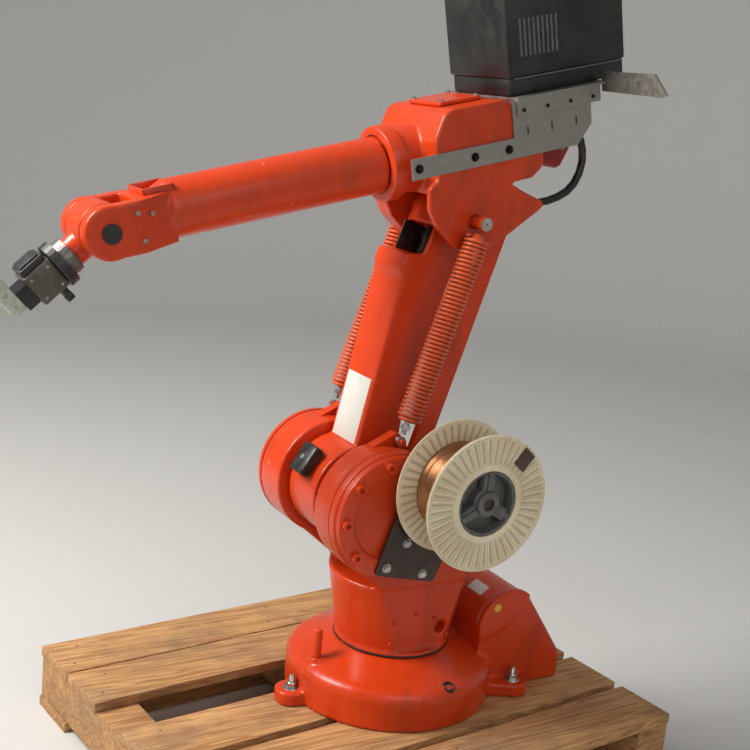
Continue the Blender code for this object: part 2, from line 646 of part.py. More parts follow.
def spool_bracket():
    """A dark sheet bolted to the near cover, with the spindle for the wire spool."""
    seat = DRUM_OUTER + NEAR_COVER_DEPTH + 2 * SEAT_GAP
    bottom, top = AXIS_2_Z - BRACKET_DROP, SPOOL_Z + BRACKET_RISE
    outline = shaped(BRACKET_SHARES, (SPOOL_X - BRACKET_REAR, bottom),
                     (AXIS_2_X + BRACKET_FRONT, top), top - bottom)
    sheet = prism(outline, seat, seat + BRACKET_THICK)
    spindle_start = seat + BRACKET_THICK - OVERLAP
    stub = turned([(0, 0), (SPINDLE_COLLAR, 0),
                   (SPINDLE_COLLAR, SPOOL_INNER_Y - spindle_start - RUN_GAP / 2),
                   (SPINDLE_RADIUS, SPOOL_INNER_Y - spindle_start - RUN_GAP / 2),
                   (SPINDLE_RADIUS, SPOOL_INNER_Y + SPOOL_WIDTH - spindle_start),
                   (0, SPOOL_INNER_Y + SPOOL_WIDTH - spindle_start)],
                  (SPOOL_X, spindle_start, SPOOL_Z), "y", steps=24)
    build("spool_bracket", (0.05, 0.025, 0.02), 0.5, turret, [sheet, stub])


turret_frame()
gearbox_covers()
spring_anchors()
spool_bracket()

# The spool turns on its spindle
spool = frame("spool", at=(SPOOL_X, SPOOL_INNER_Y, SPOOL_Z), parent=turret)


def wire_spool():
    """Two thin flanges on a core, the wire wound on it, and the grey hub inside."""
    far_face = SPOOL_WIDTH
    body = turned([(SPOOL_BORE, 0), (SPOOL_RADIUS, 0), (SPOOL_RADIUS, SPOOL_FLANGE),
                   (SPOOL_CORE, SPOOL_FLANGE), (SPOOL_CORE, far_face - SPOOL_FLANGE),
                   (SPOOL_RADIUS, far_face - SPOOL_FLANGE), (SPOOL_RADIUS, far_face),
                   (SPOOL_BORE, far_face)], axis="y", steps=48)
    build("wire_spool", CREAM, 0.45, spool, [body])
    winding = ring(SPOOL_CORE + SEAT_GAP, WINDING_RADIUS, (0, SPOOL_FLANGE + SEAT_GAP, 0),
                   SPOOL_WIDTH - 2 * SPOOL_FLANGE - 2 * SEAT_GAP, "y", steps=40)
    build("wire_winding", COPPER, 0.35, spool, [winding], metallic=1)
    hub_radius = SPOOL_BORE - SEAT_GAP
    hub = turned([(SPINDLE_RADIUS + SEAT_GAP, SEAT_GAP), (hub_radius, SEAT_GAP),
                  (hub_radius, far_face - SPOOL_FLANGE),
                  (hub_radius - SPOOL_FLANGE, far_face - SPOOL_FLANGE),
                  (hub_radius - SPOOL_FLANGE, far_face - HUB_RECESS),
                  (2 * SPINDLE_RADIUS, far_face - HUB_RECESS),
                  (2 * SPINDLE_RADIUS, far_face + SPOOL_FLANGE),
                  (SPINDLE_RADIUS + SEAT_GAP, far_face + SPOOL_FLANGE)], axis="y", steps=24)
    build("spool_hub", GREY, 0.4, spool, [hub])


wire_spool()

# The lower arm swings about the second axis
lower_arm = frame("lower_arm", at=(AXIS_2_X, 0, AXIS_2_Z), parent=turret, tilt=LOWER_ARM_LEAN)


def lower_arm_casting():
    """A deep box arm from the hub between the ears up to the third-axis pin."""
    length = LOWER_ARM_LENGTH
    hub = rod(ARM_HUB_RADIUS, (0, -ARM_HALF_WIDTH, 0), 2 * ARM_HALF_WIDTH, "y", steps=48)
    outline = shaped(ARM_SHARES, (ARM_REAR, 0), (ARM_FRONT, length), ARM_FRONT - ARM_REAR)
    shaft = prism(outline, -ARM_HALF_WIDTH, ARM_HALF_WIDTH, soften=ARM_SOFTEN)
    head = rod(ARM_HEAD_RADIUS, (0, -ARM_HALF_WIDTH, length), 2 * ARM_HALF_WIDTH, "y", steps=32)
    bore = rod(AXLE_RADIUS + SEAT_GAP, (0, -ARM_HALF_WIDTH - OVERRUN, length),
               2 * ARM_HALF_WIDTH + 2 * OVERRUN, "y", steps=24)
    inside = ARM_HALF_WIDTH - POCKET_WALL
    pocket = block((POCKET_BACK, -inside, length * POCKET_SHARES[0]),
                   (ARM_FRONT + OVERRUN, inside, length * POCKET_SHARES[1]))
    build("lower_arm_casting", ORANGE, 0.3, lower_arm, [hub, shaft, head], [bore, pocket])


def hub_buffer():
    """The black stop buffer on the front of the hub."""
    low = -BUFFER_WIDTH / 2
    buffer = block((0, low, 0), (BUFFER_DEPTH, low + BUFFER_WIDTH, BUFFER_HEIGHT),
                   soften=BUFFER_ROUND)
    bmesh.ops.translate(buffer, vec=(ARM_HUB_RADIUS + SEAT_GAP, 0, -BUFFER_HEIGHT / 2),
                        verts=buffer.verts)
    bmesh.ops.rotate(buffer, matrix=Matrix.Rotation(LOWER_ARM_LEAN, 3, "Y"),
                     verts=buffer.verts)
    build("hub_buffer", BLACK, 0.5, lower_arm, [buffer])


def spring_profile(length):
    """A closely wound coil seen as rings, tapering to a shank at both ends."""
    bottom = ANCHOR_PIN_RADIUS + SEAT_GAP
    top = length - AXLE_HEAD_RADIUS - SEAT_GAP
    coils = int((top - SPRING_NECK - bottom - SPRING_HOOK) / SPRING_WIRE)
    start = top - SPRING_NECK - coils * SPRING_WIRE
    profile = [(0, bottom), (SPRING_SHANK, bottom), (SPRING_SHANK, start)]
    for coil in range(coils):
        taper = min(1, (coil + 1) / 2, (coils - coil) / 2)
        radius = SPRING_SHANK + (SPRING_RADIUS - SPRING_SHANK) * taper
        middle = start + (coil + 1 / 2) * SPRING_WIRE
        profile += [(radius - SPRING_GROOVE, middle - SPRING_WIRE / 2),
                    (radius, middle)]
    profile += [(SPRING_SHANK, top - SPRING_NECK), (SPRING_SHANK, top), (0, top)]
    return profile


def springs():
    """Two balancing springs, hooked on the third-axis pin and on the turret's lugs."""
    foot = Vector((SPRING_FOOT_X, 0, SPRING_FOOT_Z))
    top = Vector((0, 0, LOWER_ARM_LENGTH))
    rise = top - foot
    aim = rise.to_track_quat("Z", "Y").to_matrix().to_4x4()
    for word, side in (("near", 1), ("far", -1)):
        spring = turned(spring_profile(rise.length), steps=SPRING_STEPS)
        seat = Matrix.Translation(foot + Vector((0, side * SPRING_Y, 0)))
        bmesh.ops.transform(spring, matrix=seat @ aim, verts=spring.verts)
        build(f"{word}_spring", ORANGE, 0.35, lower_arm, [spring])


lower_arm_casting()
hub_buffer()
springs()

# The pin of the third axis, held in the head of the lower arm
LINK_ANGLE = UPPER_ARM_PITCH - LOWER_ARM_LEAN
axis_3 = frame("axis_3", at=(0, 0, LOWER_ARM_LENGTH), parent=lower_arm, tilt=LINK_ANGLE)


def axis_3_pin():
    """A through pin with a head at each end; the springs hang from it."""
    axle = turned([(0, -AXLE_END), (AXLE_HEAD_RADIUS, -AXLE_END),
                   (AXLE_HEAD_RADIUS, -AXLE_END + AXLE_HEAD), (AXLE_RADIUS, -AXLE_END + AXLE_HEAD),
                   (AXLE_RADIUS, AXLE_END - AXLE_HEAD), (AXLE_HEAD_RADIUS, AXLE_END - AXLE_HEAD),
                   (AXLE_HEAD_RADIUS, AXLE_END), (0, AXLE_END)], axis="y", steps=24)
    build("axis_3_pin", STEEL, 0.35, axis_3, [axle], metallic=1)


axis_3_pin()

# The parallel linkage: a crank on the second axis and a rod up to the lever
ROD_START = ARM_HALF_WIDTH + ROD_SIDE_GAP
ROD_END = ROD_START + ROD_THICK
CRANK_START = ROD_END + SEAT_GAP
CRANK_END = NEAR_EAR_INNER - SEAT_GAP
crank = frame("crank", at=(AXIS_2_X, 0, AXIS_2_Z), parent=turret, tilt=UPPER_ARM_PITCH)
crank_joint = frame("crank_joint", at=(-CRANK_BACK, 0, CRANK_RISE), parent=crank)
link_rod = frame("link_rod", parent=crank_joint, tilt=-LINK_ANGLE)


def crank_pieces():
    """The crank against the inside of the near ear, and the pin at its end."""
    back = 180 - degrees(atan2(CRANK_RISE, CRANK_BACK))
    web = prism(arc((0, 0), CRANK_HUB_RADIUS, back - 280, back - 80, 24)
                + arc((-CRANK_BACK, CRANK_RISE), ROD_EYE_RADIUS, back - 80, back + 80, 14),
                CRANK_START, CRANK_END)
    bore = rod(LINK_PIN_RADIUS + SEAT_GAP, (-CRANK_BACK, CRANK_START - OVERRUN, CRANK_RISE),
               CRANK_END - CRANK_START + 2 * OVERRUN, "y", steps=24)
    build("crank_arm", ORANGE, 0.35, crank, [web], [bore])
    pin = rod(LINK_PIN_RADIUS, (0, ROD_START, 0), CRANK_END - ROD_START, "y", steps=24)
    build("crank_pin", STEEL, 0.35, crank_joint, [pin], metallic=1)


def parallel_rod():
    """A flat bar with an eye at each end; the top eye has clearance round its pin."""
    open_angle = degrees(acos(ROD_WIDTH / 2 / ROD_EYE_RADIUS))
    bar = prism(arc((0, 0), ROD_EYE_RADIUS, 180 - open_angle, 360 + open_angle, 16)
                + arc((0, LOWER_ARM_LENGTH), ROD_EYE_RADIUS, -open_angle, 180 + open_angle, 16),
                ROD_START, ROD_END)
    holes = [rod(LINK_PIN_RADIUS + SEAT_GAP, (0, ROD_START - OVERRUN, 0),
                 ROD_THICK + 2 * OVERRUN, "y", steps=24),
             rod(ROD_BORE, (0, ROD_START - OVERRUN, LOWER_ARM_LENGTH),
                 ROD_THICK + 2 * OVERRUN, "y", steps=24)]
    build("parallel_rod", ORANGE, 0.35, link_rod, [bar], holes)


crank_pieces()
parallel_rod()

# The upper arm swings about the third axis
upper_arm = frame("upper_arm", parent=axis_3)


def upper_arm_housing():
    """A rounded housing on two ears; the near ear runs back as the lever of the linkage."""
    height = HOUSING_TOP - HOUSING_BOTTOM
    body = prism(shaped(HOUSING_SHARES, (HOUSING_REAR, HOUSING_BOTTOM),
                        (HOUSING_FRONT, HOUSING_TOP), height),
                 -HOUSING_HALF_WIDTH, HOUSING_HALF_WIDTH, soften=HOUSING_ROUND, segments=4,
                 above=HOUSING_ROUND_START)
    barrel_end = COLLAR_END - COLLAR_LENGTH - SEAT_GAP
    solids = [body, rod(BARREL_RADIUS, (0, 0, AXIS_4_RISE), barrel_end, "x", steps=48)]
    holes = []
    for side, slot_half, shares in ((-1, FAR_EAR_INNER, FAR_EAR_SHARES),
                                    (1, NEAR_EAR_INNER, NEAR_EAR_SHARES)):
        inner, outer = sorted((side * slot_half, side * (HOUSING_HALF_WIDTH - EAR_STEP)))
        solids.append(prism(shaped(shares, (LEVER_REAR, EAR_BOTTOM), (EAR_FRONT, EAR_TOP),
                                   EAR_TOP - EAR_BOTTOM), inner, outer))
        holes.append(rod(AXLE_RADIUS + SEAT_GAP, (0, side * (slot_half - OVERRUN), 0),
                         HOUSING_HALF_WIDTH - slot_half + 2 * OVERRUN,
                         "y" if side > 0 else "-y", steps=24))
    root = NEAR_EAR_INNER + OVERLAP
    solids.append(rod(LEVER_BOSS_RADIUS, (-CRANK_BACK, root, CRANK_RISE), root - CRANK_START,
                      "-y", steps=24))
    solids.append(rod(LINK_PIN_RADIUS, (-CRANK_BACK, CRANK_START + OVERLAP, CRANK_RISE),
                      CRANK_START + OVERLAP - ROD_START, "-y", steps=20))
    build("upper_arm_housing", ORANGE, 0.3, upper_arm, solids, holes)
    collar = rod(COLLAR_RADIUS, (COLLAR_END - COLLAR_LENGTH, 0, AXIS_4_RISE), COLLAR_LENGTH, "x",
                 steps=48, chamfer=COLLAR_CHAMFER)
    build("bearing_collar", ORANGE, 0.3, upper_arm, [collar])


def housing_covers():
    """The low cover on top and the drive cover behind."""
    top = block((TOP_COVER_REAR, -TOP_COVER_HALF, HOUSING_TOP + SEAT_GAP),
                (TOP_COVER_FRONT, TOP_COVER_HALF, HOUSING_TOP + TOP_COVER_HEIGHT),
                soften=TOP_COVER_ROUND)
    build("top_cover", ORANGE, 0.35, upper_arm, [top])
    rear = prism(shaped(MOTOR_SHARES, (HOUSING_REAR - SEAT_GAP, MOTOR_BOTTOM),
                        (MOTOR_REAR, MOTOR_TOP), MOTOR_TOP - MOTOR_BOTTOM),
                 -MOTOR_HALF_WIDTH, MOTOR_HALF_WIDTH, soften=MOTOR_ROUND)
    build("rear_drive_cover", (0.5, 0.03, 0.02), 0.4, upper_arm, [rear])


def feeder_brackets():
    """Galvanised side sheets, each a strap on the housing that widens into a plate."""
    bottom = STRAP_BOTTOM
    for word, side in (("near", 1), ("far", -1)):
        outline = [(STRAP_FRONT, bottom), (STRAP_FRONT, bottom + STRAP_HEIGHT),
                   (PLATE_FRONT, bottom + STRAP_HEIGHT), (PLATE_FRONT, PLATE_TOP),
                   (PLATE_REAR, PLATE_TOP), (PLATE_REAR, bottom + PLATE_CHAMFER),
                   (PLATE_REAR + PLATE_CHAMFER, bottom)]
        low, high = sorted((side * (HOUSING_HALF_WIDTH + SEAT_GAP),
                            side * (HOUSING_HALF_WIDTH + SEAT_GAP + SHEET_THICK)))
        build(f"{word}_feeder_strap", ZINC, 0.45, upper_arm, [prism(outline, low, high)],
              metallic=1)


def feeder_tray():
    """The tray over the side sheets and the plain black wire feeder on it."""
    floor = PLATE_TOP + SEAT_GAP
    tray = block((TRAY_REAR, -TRAY_HALF_WIDTH, floor),
                 (TRAY_FRONT, TRAY_HALF_WIDTH, floor + SHEET_THICK))
    solids = [tray]
    for side in (-1, 1):
        inner = HOUSING_HALF_WIDTH + 2 * SEAT_GAP + SHEET_THICK
        low, high = sorted((side * inner, side * (inner + SHEET_THICK)))
        solids.append(block((TRAY_LIP_REAR, low, floor - TRAY_LIP),
                            (TRAY_FRONT, high, floor + SHEET_THICK)))
    span = WING_OUTER - WING_INNER
    rise = SHEET_THICK + WING_RISE + WING_DROP
    wing = prism([(WING_INNER + span * across, floor - WING_DROP + rise * up)
                  for across, up in WING_SHARES], -TRAY_REAR - SHEET_THICK, -TRAY_REAR)
    bmesh.ops.rotate(wing, matrix=Matrix.Rotation(pi / 2, 3, "Z"), verts=wing.verts)
    solids.append(wing)
    build("feeder_tray", ZINC, 0.45, upper_arm, solids, metallic=1)
    bottom = floor + SHEET_THICK + SEAT_GAP
    feeder = block((FEEDER_FRONT - FEEDER_LENGTH, -FEEDER_HALF_WIDTH, bottom),
                   (FEEDER_FRONT, FEEDER_HALF_WIDTH, bottom + FEEDER_HEIGHT),
                   soften=FEEDER_ROUND)
    build("wire_feeder", BLACK, 0.45, upper_arm, [feeder])


upper_arm_housing()
housing_covers()
feeder_brackets()
feeder_tray()

# The forearm rolls about the fourth axis
forearm = frame("forearm", at=(0, 0, AXIS_4_RISE), parent=upper_arm)


def forearm_casting():
    """A slim tube that widens into a fork with a round cheek on each side of the wrist."""
    start = COLLAR_END + SEAT_GAP
    root = WRIST_REACH - FORK_LENGTH
    inside = TUBE_END_RADIUS - 2 * OVERRUN
    tube = turned([(0, start), (TUBE_START_RADIUS, start), (TUBE_END_RADIUS, root),
                   (inside, root + FORK_SLOPE / 2), (0, root + FORK_SLOPE / 2)], axis="x",
                  steps=48)
    flat = CHEEK_OUTER - OVERLAP / 2
    plan = [(root, -inside), (root + FORK_SLOPE, -flat), (WRIST_REACH, -flat),
            (WRIST_REACH, flat), (root + FORK_SLOPE, flat), (root, inside)]
    half = WRIST_RADIUS - OVERLAP
    fork = slab(plan, -WRIST_DROP - half, -WRIST_DROP + half)
    edge = WRIST_RADIUS - CHEEK_CHAMFER
    cheeks = turned([(0, -CHEEK_OUTER), (edge, -CHEEK_OUTER),
                     (WRIST_RADIUS, -CHEEK_OUTER + CHEEK_CHAMFER),
                     (WRIST_RADIUS, CHEEK_OUTER - CHEEK_CHAMFER), (edge, CHEEK_OUTER),
                     (0, CHEEK_OUTER)], (WRIST_REACH, 0, -WRIST_DROP), "y", steps=40)
    half = WRIST_RADIUS + 2 * OVERRUN
    slot = block((WRIST_REACH - FORK_THROAT, -CHEEK_INNER, -WRIST_DROP - half),
                 (WRIST_REACH + half, CHEEK_INNER, -WRIST_DROP + half))
    build("forearm_casting", ORANGE, 0.3, forearm, [tube, fork, cheeks], [slot])
    for word, side in (("near", 1), ("far", -1)):
        cap = rod(CAP_RADIUS, (WRIST_REACH, side * (CHEEK_OUTER + SEAT_GAP), -WRIST_DROP),
                  CAP_DEPTH, "y" if side > 0 else "-y", steps=24, chamfer=CAP_DEPTH / 4)
        build(f"{word}_wrist_cap", BLACK, 0.5, forearm, [cap])


forearm_casting()

# The wrist bends about the fifth axis and the flange turns about the sixth
wrist = frame("wrist", at=(WRIST_REACH, 0, -WRIST_DROP), parent=forearm, tilt=WRIST_BEND)
flange = frame("flange", at=(FLANGE_REACH, 0, 0), parent=wrist)


def tilt_housing():
    """The drum between the cheeks with its tapered neck."""
    half = CHEEK_INNER - WRIST_GAP
    drum = rod(WRIST_RADIUS, (0, -half, 0), 2 * half, "y", steps=40)
    seat = CHEEK_INNER - SEAT_GAP
    trunnion = rod(CAP_RADIUS, (0, -seat, 0), 2 * seat, "y", steps=24)
    neck = turned([(0, 0), (NECK_START_RADIUS - OVERLAP, 0),
                   (NECK_START_RADIUS - OVERLAP, WRIST_RADIUS),
                   (NECK_END_RADIUS, NECK_END), (0, NECK_END)], axis="x", steps=32)
    build("tilt_housing", ORANGE, 0.3, wrist, [drum, neck, trunnion])


def tool_pieces():
    """Turning disc, adapter, sensor box with its latch, and the bar for the torch."""
    disc = rod(FLANGE_RADIUS, (NECK_END - FLANGE_REACH + SEAT_GAP, 0, 0),
               FLANGE_REACH - NECK_END - SEAT_GAP, "x", steps=32)
    build("turning_disc", GREY, 0.4, flange, [disc])
    adapter = rod(ADAPTER_RADIUS, (SEAT_GAP, 0, 0), ADAPTER_THICK, "x", steps=32,
                  chamfer=ADAPTER_CHAMFER)
    build("tool_adapter", BLACK, 0.4, flange, [adapter])
    start = ADAPTER_THICK + 2 * SEAT_GAP
    end = start + SENSOR_LENGTH
    sensor = block((start, -SENSOR_HALF, -SENSOR_HALF), (end, SENSOR_HALF, SENSOR_HALF),
                   soften=SENSOR_ROUND)
    build("collision_sensor", GREY, 0.4, flange, [sensor])
    latch_bottom = SENSOR_HALF + SEAT_GAP
    latch = block((start + LATCH_INSET, -SENSOR_HALF + LATCH_INSET, latch_bottom),
                  (end - LATCH_INSET, SENSOR_HALF - LATCH_INSET, latch_bottom + LATCH_HEIGHT),
                  soften=ADAPTER_CHAMFER)
    build("sensor_latch", BLACK, 0.45, flange, [latch])
    plate_end = end + SEAT_GAP + END_PLATE_LENGTH
    plate = block((end + SEAT_GAP, -HOLDER_HALF, -END_PLATE_HALF),
                  (plate_end, HOLDER_HALF, END_PLATE_HALF))
    build("torch_plate", BLACK, 0.4, flange, [plate])
    holder_start = plate_end + SEAT_GAP
    holder = block((holder_start, -HOLDER_HALF, -HOLDER_DROP),
                   (holder_start + HOLDER_THICK, HOLDER_HALF, HOLDER_LENGTH - HOLDER_DROP),
                   soften=ADAPTER_CHAMFER)
    build("torch_holder", (0.55, 0.62, 0.55), 0.5, flange, [holder])


tilt_housing()
tool_pieces()
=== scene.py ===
"""Looks of a six-axis welding robot arm on a wooden pallet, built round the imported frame."""

from math import asin, cos, pi, radians, sin

import bmesh
import bpy
from mathutils import Matrix, Vector


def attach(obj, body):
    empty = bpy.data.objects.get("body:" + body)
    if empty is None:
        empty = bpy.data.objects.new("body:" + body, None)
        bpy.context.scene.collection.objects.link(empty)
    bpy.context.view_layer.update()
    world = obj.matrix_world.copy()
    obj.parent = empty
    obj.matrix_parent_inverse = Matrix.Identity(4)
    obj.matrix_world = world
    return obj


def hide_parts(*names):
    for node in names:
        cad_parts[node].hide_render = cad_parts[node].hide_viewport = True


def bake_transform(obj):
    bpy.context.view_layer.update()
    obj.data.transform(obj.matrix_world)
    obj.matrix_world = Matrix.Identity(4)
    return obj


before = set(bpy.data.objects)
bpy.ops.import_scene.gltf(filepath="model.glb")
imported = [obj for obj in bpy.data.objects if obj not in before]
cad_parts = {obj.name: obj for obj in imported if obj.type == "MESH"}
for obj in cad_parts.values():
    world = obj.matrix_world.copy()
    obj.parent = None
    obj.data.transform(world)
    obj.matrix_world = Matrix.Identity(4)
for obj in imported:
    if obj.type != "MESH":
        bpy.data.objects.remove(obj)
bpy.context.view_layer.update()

# The camera stands to the left and in front of the robot, at head height, a little tilted
# to one side, as a hand-held camera is.
MM = 0.001
CAMERA_PLACE = Vector((1.3996, 2.0964, 1.4353))
CAMERA_YAW = radians(31.7)
CAMERA_PITCH = radians(13.23)
CAMERA_ROLL = radians(5.56)
LENS = 58.85
SENSOR_WIDE = 36


def add(name, data):
    """A new object in the scene."""
    made = bpy.data.objects.new(name, data)
    bpy.context.scene.collection.objects.link(made)
    return made


look = Vector((-sin(CAMERA_YAW) * cos(CAMERA_PITCH), -cos(CAMERA_YAW) * cos(CAMERA_PITCH),
               -sin(CAMERA_PITCH)))
level = look.cross(Vector((0, 0, 1))).normalized()
upward = level.cross(look)
across = cos(CAMERA_ROLL) * level + sin(CAMERA_ROLL) * upward
up = -sin(CAMERA_ROLL) * level + cos(CAMERA_ROLL) * upward
camera_data = bpy.data.cameras.new("camera")
camera_data.lens = LENS
camera_data.sensor_width = SENSOR_WIDE
camera = add("camera", camera_data)
camera_turn = Matrix((across, up, -look)).transposed().to_4x4()
camera.matrix_world = Matrix.Translation(CAMERA_PLACE) @ camera_turn
bpy.context.scene.camera = camera

# The motor hose: a smooth black rubber hose that leaves the third-axis drive at the back,
# hangs in a short loop and goes up into the underside of the housing. Its route is in
# millimetres of the upper arm's frame, which has its origin on the third axis.
UPPER_ARM = (Matrix.Translation((-25.42 * MM, 0, 1192.08 * MM))
             @ Matrix.Rotation(radians(13.24), 4, "Y"))
HOSE_RADIUS = 8.5 * MM
HOSE_ROUTE = ((-283, 34, 124), (-306, 34, 125), (-323, 35, 116), (-333, 36, 98),
              (-335, 38, 76), (-331, 40, 53), (-320, 42, 31), (-303, 44, 12), (-281, 46, -1),
              (-256, 46, -8), (-229, 46, -11), (-202, 46, -10), (-175, 46, -7), (-149, 46, -1),
              (-126, 46, 10), (-109, 46, 27), (-101, 46, 47), (-100, 46, 62))


def arm_point(x, y, z):
    """A point given in millimetres of the upper arm's frame."""
    return UPPER_ARM @ (Vector((x, y, z)) * MM)


def plain_tree(name, colour, roughness, metallic=0):
    """A new material with its shader, ready for texture nodes."""
    finish = bpy.data.materials.new(name)
    finish.use_nodes = True
    shader = finish.node_tree.nodes["Principled BSDF"]
    shader.inputs["Base Color"].default_value = (*colour, 1)
    shader.inputs["Roughness"].default_value = roughness
    shader.inputs["Metallic"].default_value = metallic
    return finish, finish.node_tree, shader


def grow(tree, kind, inputs=(), **settings):
    """One more node, with its settings and the values of its inputs."""
    node = tree.nodes.new(kind)
    for key, value in settings.items():
        setattr(node, key, value)
    for key, value in dict(inputs).items():
        node.inputs[key].default_value = value
    return node


def place_of(tree, scale=(1, 1, 1), turn=(0, 0, 0), shift=(0, 0, 0)):
    """Object coordinates, stretched, turned and shifted for one pattern."""
    spot = grow(tree, "ShaderNodeTexCoord")
    mapping = grow(tree, "ShaderNodeMapping",
                   {"Scale": scale, "Rotation": turn, "Location": shift})
    tree.links.new(spot.outputs["Object"], mapping.inputs["Vector"])
    return mapping.outputs["Vector"]


def noise(tree, vector, scale, detail=3, rough=0.5, distort=0):
    """A cloudy pattern from 0 to 1."""
    node = grow(tree, "ShaderNodeTexNoise", {"Scale": scale, "Detail": detail,
                                             "Roughness": rough, "Distortion": distort})
    tree.links.new(vector, node.inputs["Vector"])
    return node.outputs["Fac"]


def band(tree, value, low, high, bottom=0, top=1):
    """The part of a pattern between two levels, spread from bottom to top."""
    node = grow(tree, "ShaderNodeMapRange", {"From Min": low, "From Max": high,
                                             "To Min": bottom, "To Max": top})
    tree.links.new(value, node.inputs["Value"])
    return node.outputs["Result"]


def tint(tree, amount, below, above):
    """One colour or another, as a pattern says; each may be a colour or a node's output."""
    node = grow(tree, "ShaderNodeMix", data_type="RGBA")
    tree.links.new(amount, node.inputs["Factor"])
    for key, colour in (("A", below), ("B", above)):
        socket = [item for item in node.inputs if item.name == key and item.type == "RGBA"][0]
        if isinstance(colour, tuple):
            socket.default_value = (*colour, 1)
        else:
            tree.links.new(colour, socket)
    return [item for item in node.outputs if item.type == "RGBA"][0]


def relief(tree, shader, height, strength, depth, under=None):
    """A bump on the surface; relief under it can be passed on."""
    node = grow(tree, "ShaderNodeBump", {"Strength": strength, "Distance": depth})
    tree.links.new(height, node.inputs["Height"])
    if under:
        tree.links.new(under, node.inputs["Normal"])
    tree.links.new(node.outputs["Normal"], shader.inputs["Normal"])
    return node.outputs["Normal"]


def coat(tree, shader, colour, rough=None):
    """Feeds the shader's colour, and its roughness where that changes too."""
    tree.links.new(colour, shader.inputs["Base Color"])
    if rough:
        tree.links.new(rough, shader.inputs["Roughness"])


def marked_finish(name, clean, marked, clouds, levels, rough, grain=None, metallic=0):
    """A finish with clouds of another colour and roughness, and a grain.

    clouds is the scale, detail and roughness of the pattern, levels its limits, rough the
    roughness without and with marks, and grain the scale, detail, strength and depth in mm."""
    finish, tree, shader = plain_tree(name, clean, rough[0], metallic)
    place = place_of(tree)
    marks = band(tree, noise(tree, place, *clouds), *levels)
    coat(tree, shader, tint(tree, marks, clean, marked), band(tree, marks, 0, 1, *rough))
    if grain:
        scale, detail, strength, depth = grain
        relief(tree, shader, noise(tree, place, scale, detail), strength, depth * MM)
    return finish


hose_rubber = marked_finish("hose rubber", (0.011, 0.011, 0.012), (0.05, 0.046, 0.042),
                            (40, 4), (0.5, 0.75), (0.42, 0.7), (600, 2, 0.2, 0.3))
hose_line = [arm_point(*point) for point in HOSE_ROUTE]
hose_curve = bpy.data.curves.new("motor_hose", "CURVE")
hose_curve.dimensions = "3D"
hose_curve.bevel_depth = HOSE_RADIUS
hose_curve.bevel_resolution = 3
hose_curve.use_fill_caps = True
hose_spline = hose_curve.splines.new("POLY")
hose_spline.points.add(len(hose_line) - 1)
for spline_point, place in zip(hose_spline.points, hose_line):
    spline_point.co = (*place, 1)
hose_curve.materials.append(hose_rubber)
motor_hose = add("motor_hose", hose_curve)
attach(motor_hose, "upper_arm")

# A pale floor that curves up into a pale wall all round, as in a photographer's studio,
# under two soft lamps and an even sky.
FLOOR_COLOUR = (0.63, 0.62, 0.6)
FLOOR_ROUGH = 0.7
FLOOR_EDGE = 4.8
WALL_CURVE = 1.8
WALL_TOP = 5.4
WALL_STEPS = 12
STUDIO_STEPS = 72
SKY_COLOUR = (0.82, 0.84, 0.87)
SKY_STRENGTH = 0.36
WINDOW_LIGHT = {"place": (2.9, -0.9, 3.3), "target": (0.1, 0, 0.7), "size": 1.6,
                "power": 218, "colour": (1, 0.98, 0.94)}
ROOM_LIGHT = {"place": (0.6, 3.6, 2.6), "target": (0.1, 0, 0.8), "size": 2.6,
              "power": 28, "colour": (1, 0.97, 0.92)}

studio_shape = bmesh.new()
side_line = [(0, 0), (FLOOR_EDGE, 0)]
side_line += [(FLOOR_EDGE + WALL_CURVE * sin(step * pi / (2 * WALL_STEPS)),
               WALL_CURVE - WALL_CURVE * cos(step * pi / (2 * WALL_STEPS)))
              for step in range(1, WALL_STEPS + 1)]
side_line.append((FLOOR_EDGE + WALL_CURVE, WALL_TOP))
side_verts = [studio_shape.verts.new((x, 0, z)) for x, z in side_line]
side_edges = [studio_shape.edges.new(pair) for pair in zip(side_verts, side_verts[1:])]
bmesh.ops.spin(studio_shape, geom=side_verts + side_edges, cent=(0, 0, 0), axis=(0, 0, 1),
               angle=2 * pi, steps=STUDIO_STEPS, use_merge=True)
bmesh.ops.remove_doubles(studio_shape, verts=studio_shape.verts, dist=0.1 * MM)
bmesh.ops.recalc_face_normals(studio_shape, faces=studio_shape.faces)
studio_mesh = bpy.data.meshes.new("studio_floor")
studio_shape.to_mesh(studio_mesh)
studio_shape.free()
studio_mesh.shade_smooth()
studio_mesh.materials.append(plain_tree("pale floor", FLOOR_COLOUR, FLOOR_ROUGH)[0])
add("studio_floor", studio_mesh)

world = bpy.data.worlds.new("studio")
world.use_nodes = True
sky = world.node_tree.nodes["Background"]
sky.inputs["Color"].default_value = (*SKY_COLOUR, 1)
sky.inputs["Strength"].default_value = SKY_STRENGTH
bpy.context.scene.world = world
bpy.context.scene.view_settings.view_transform = "Standard"


def lamp(name, place, target, size, power, colour):
    """A square soft lamp aimed at a point."""
    data = bpy.data.lights.new(name, "AREA")
    data.shape = "SQUARE"
    data.size = size
    data.energy = power
    data.color = colour
    light = add(name, data)
    light.location = place
    light.rotation_euler = (Vector(target) - Vector(place)).to_track_quat("-Z", "Y").to_euler()


lamp("window_light", **WINDOW_LIGHT)
lamp("room_light", **ROOM_LIGHT)

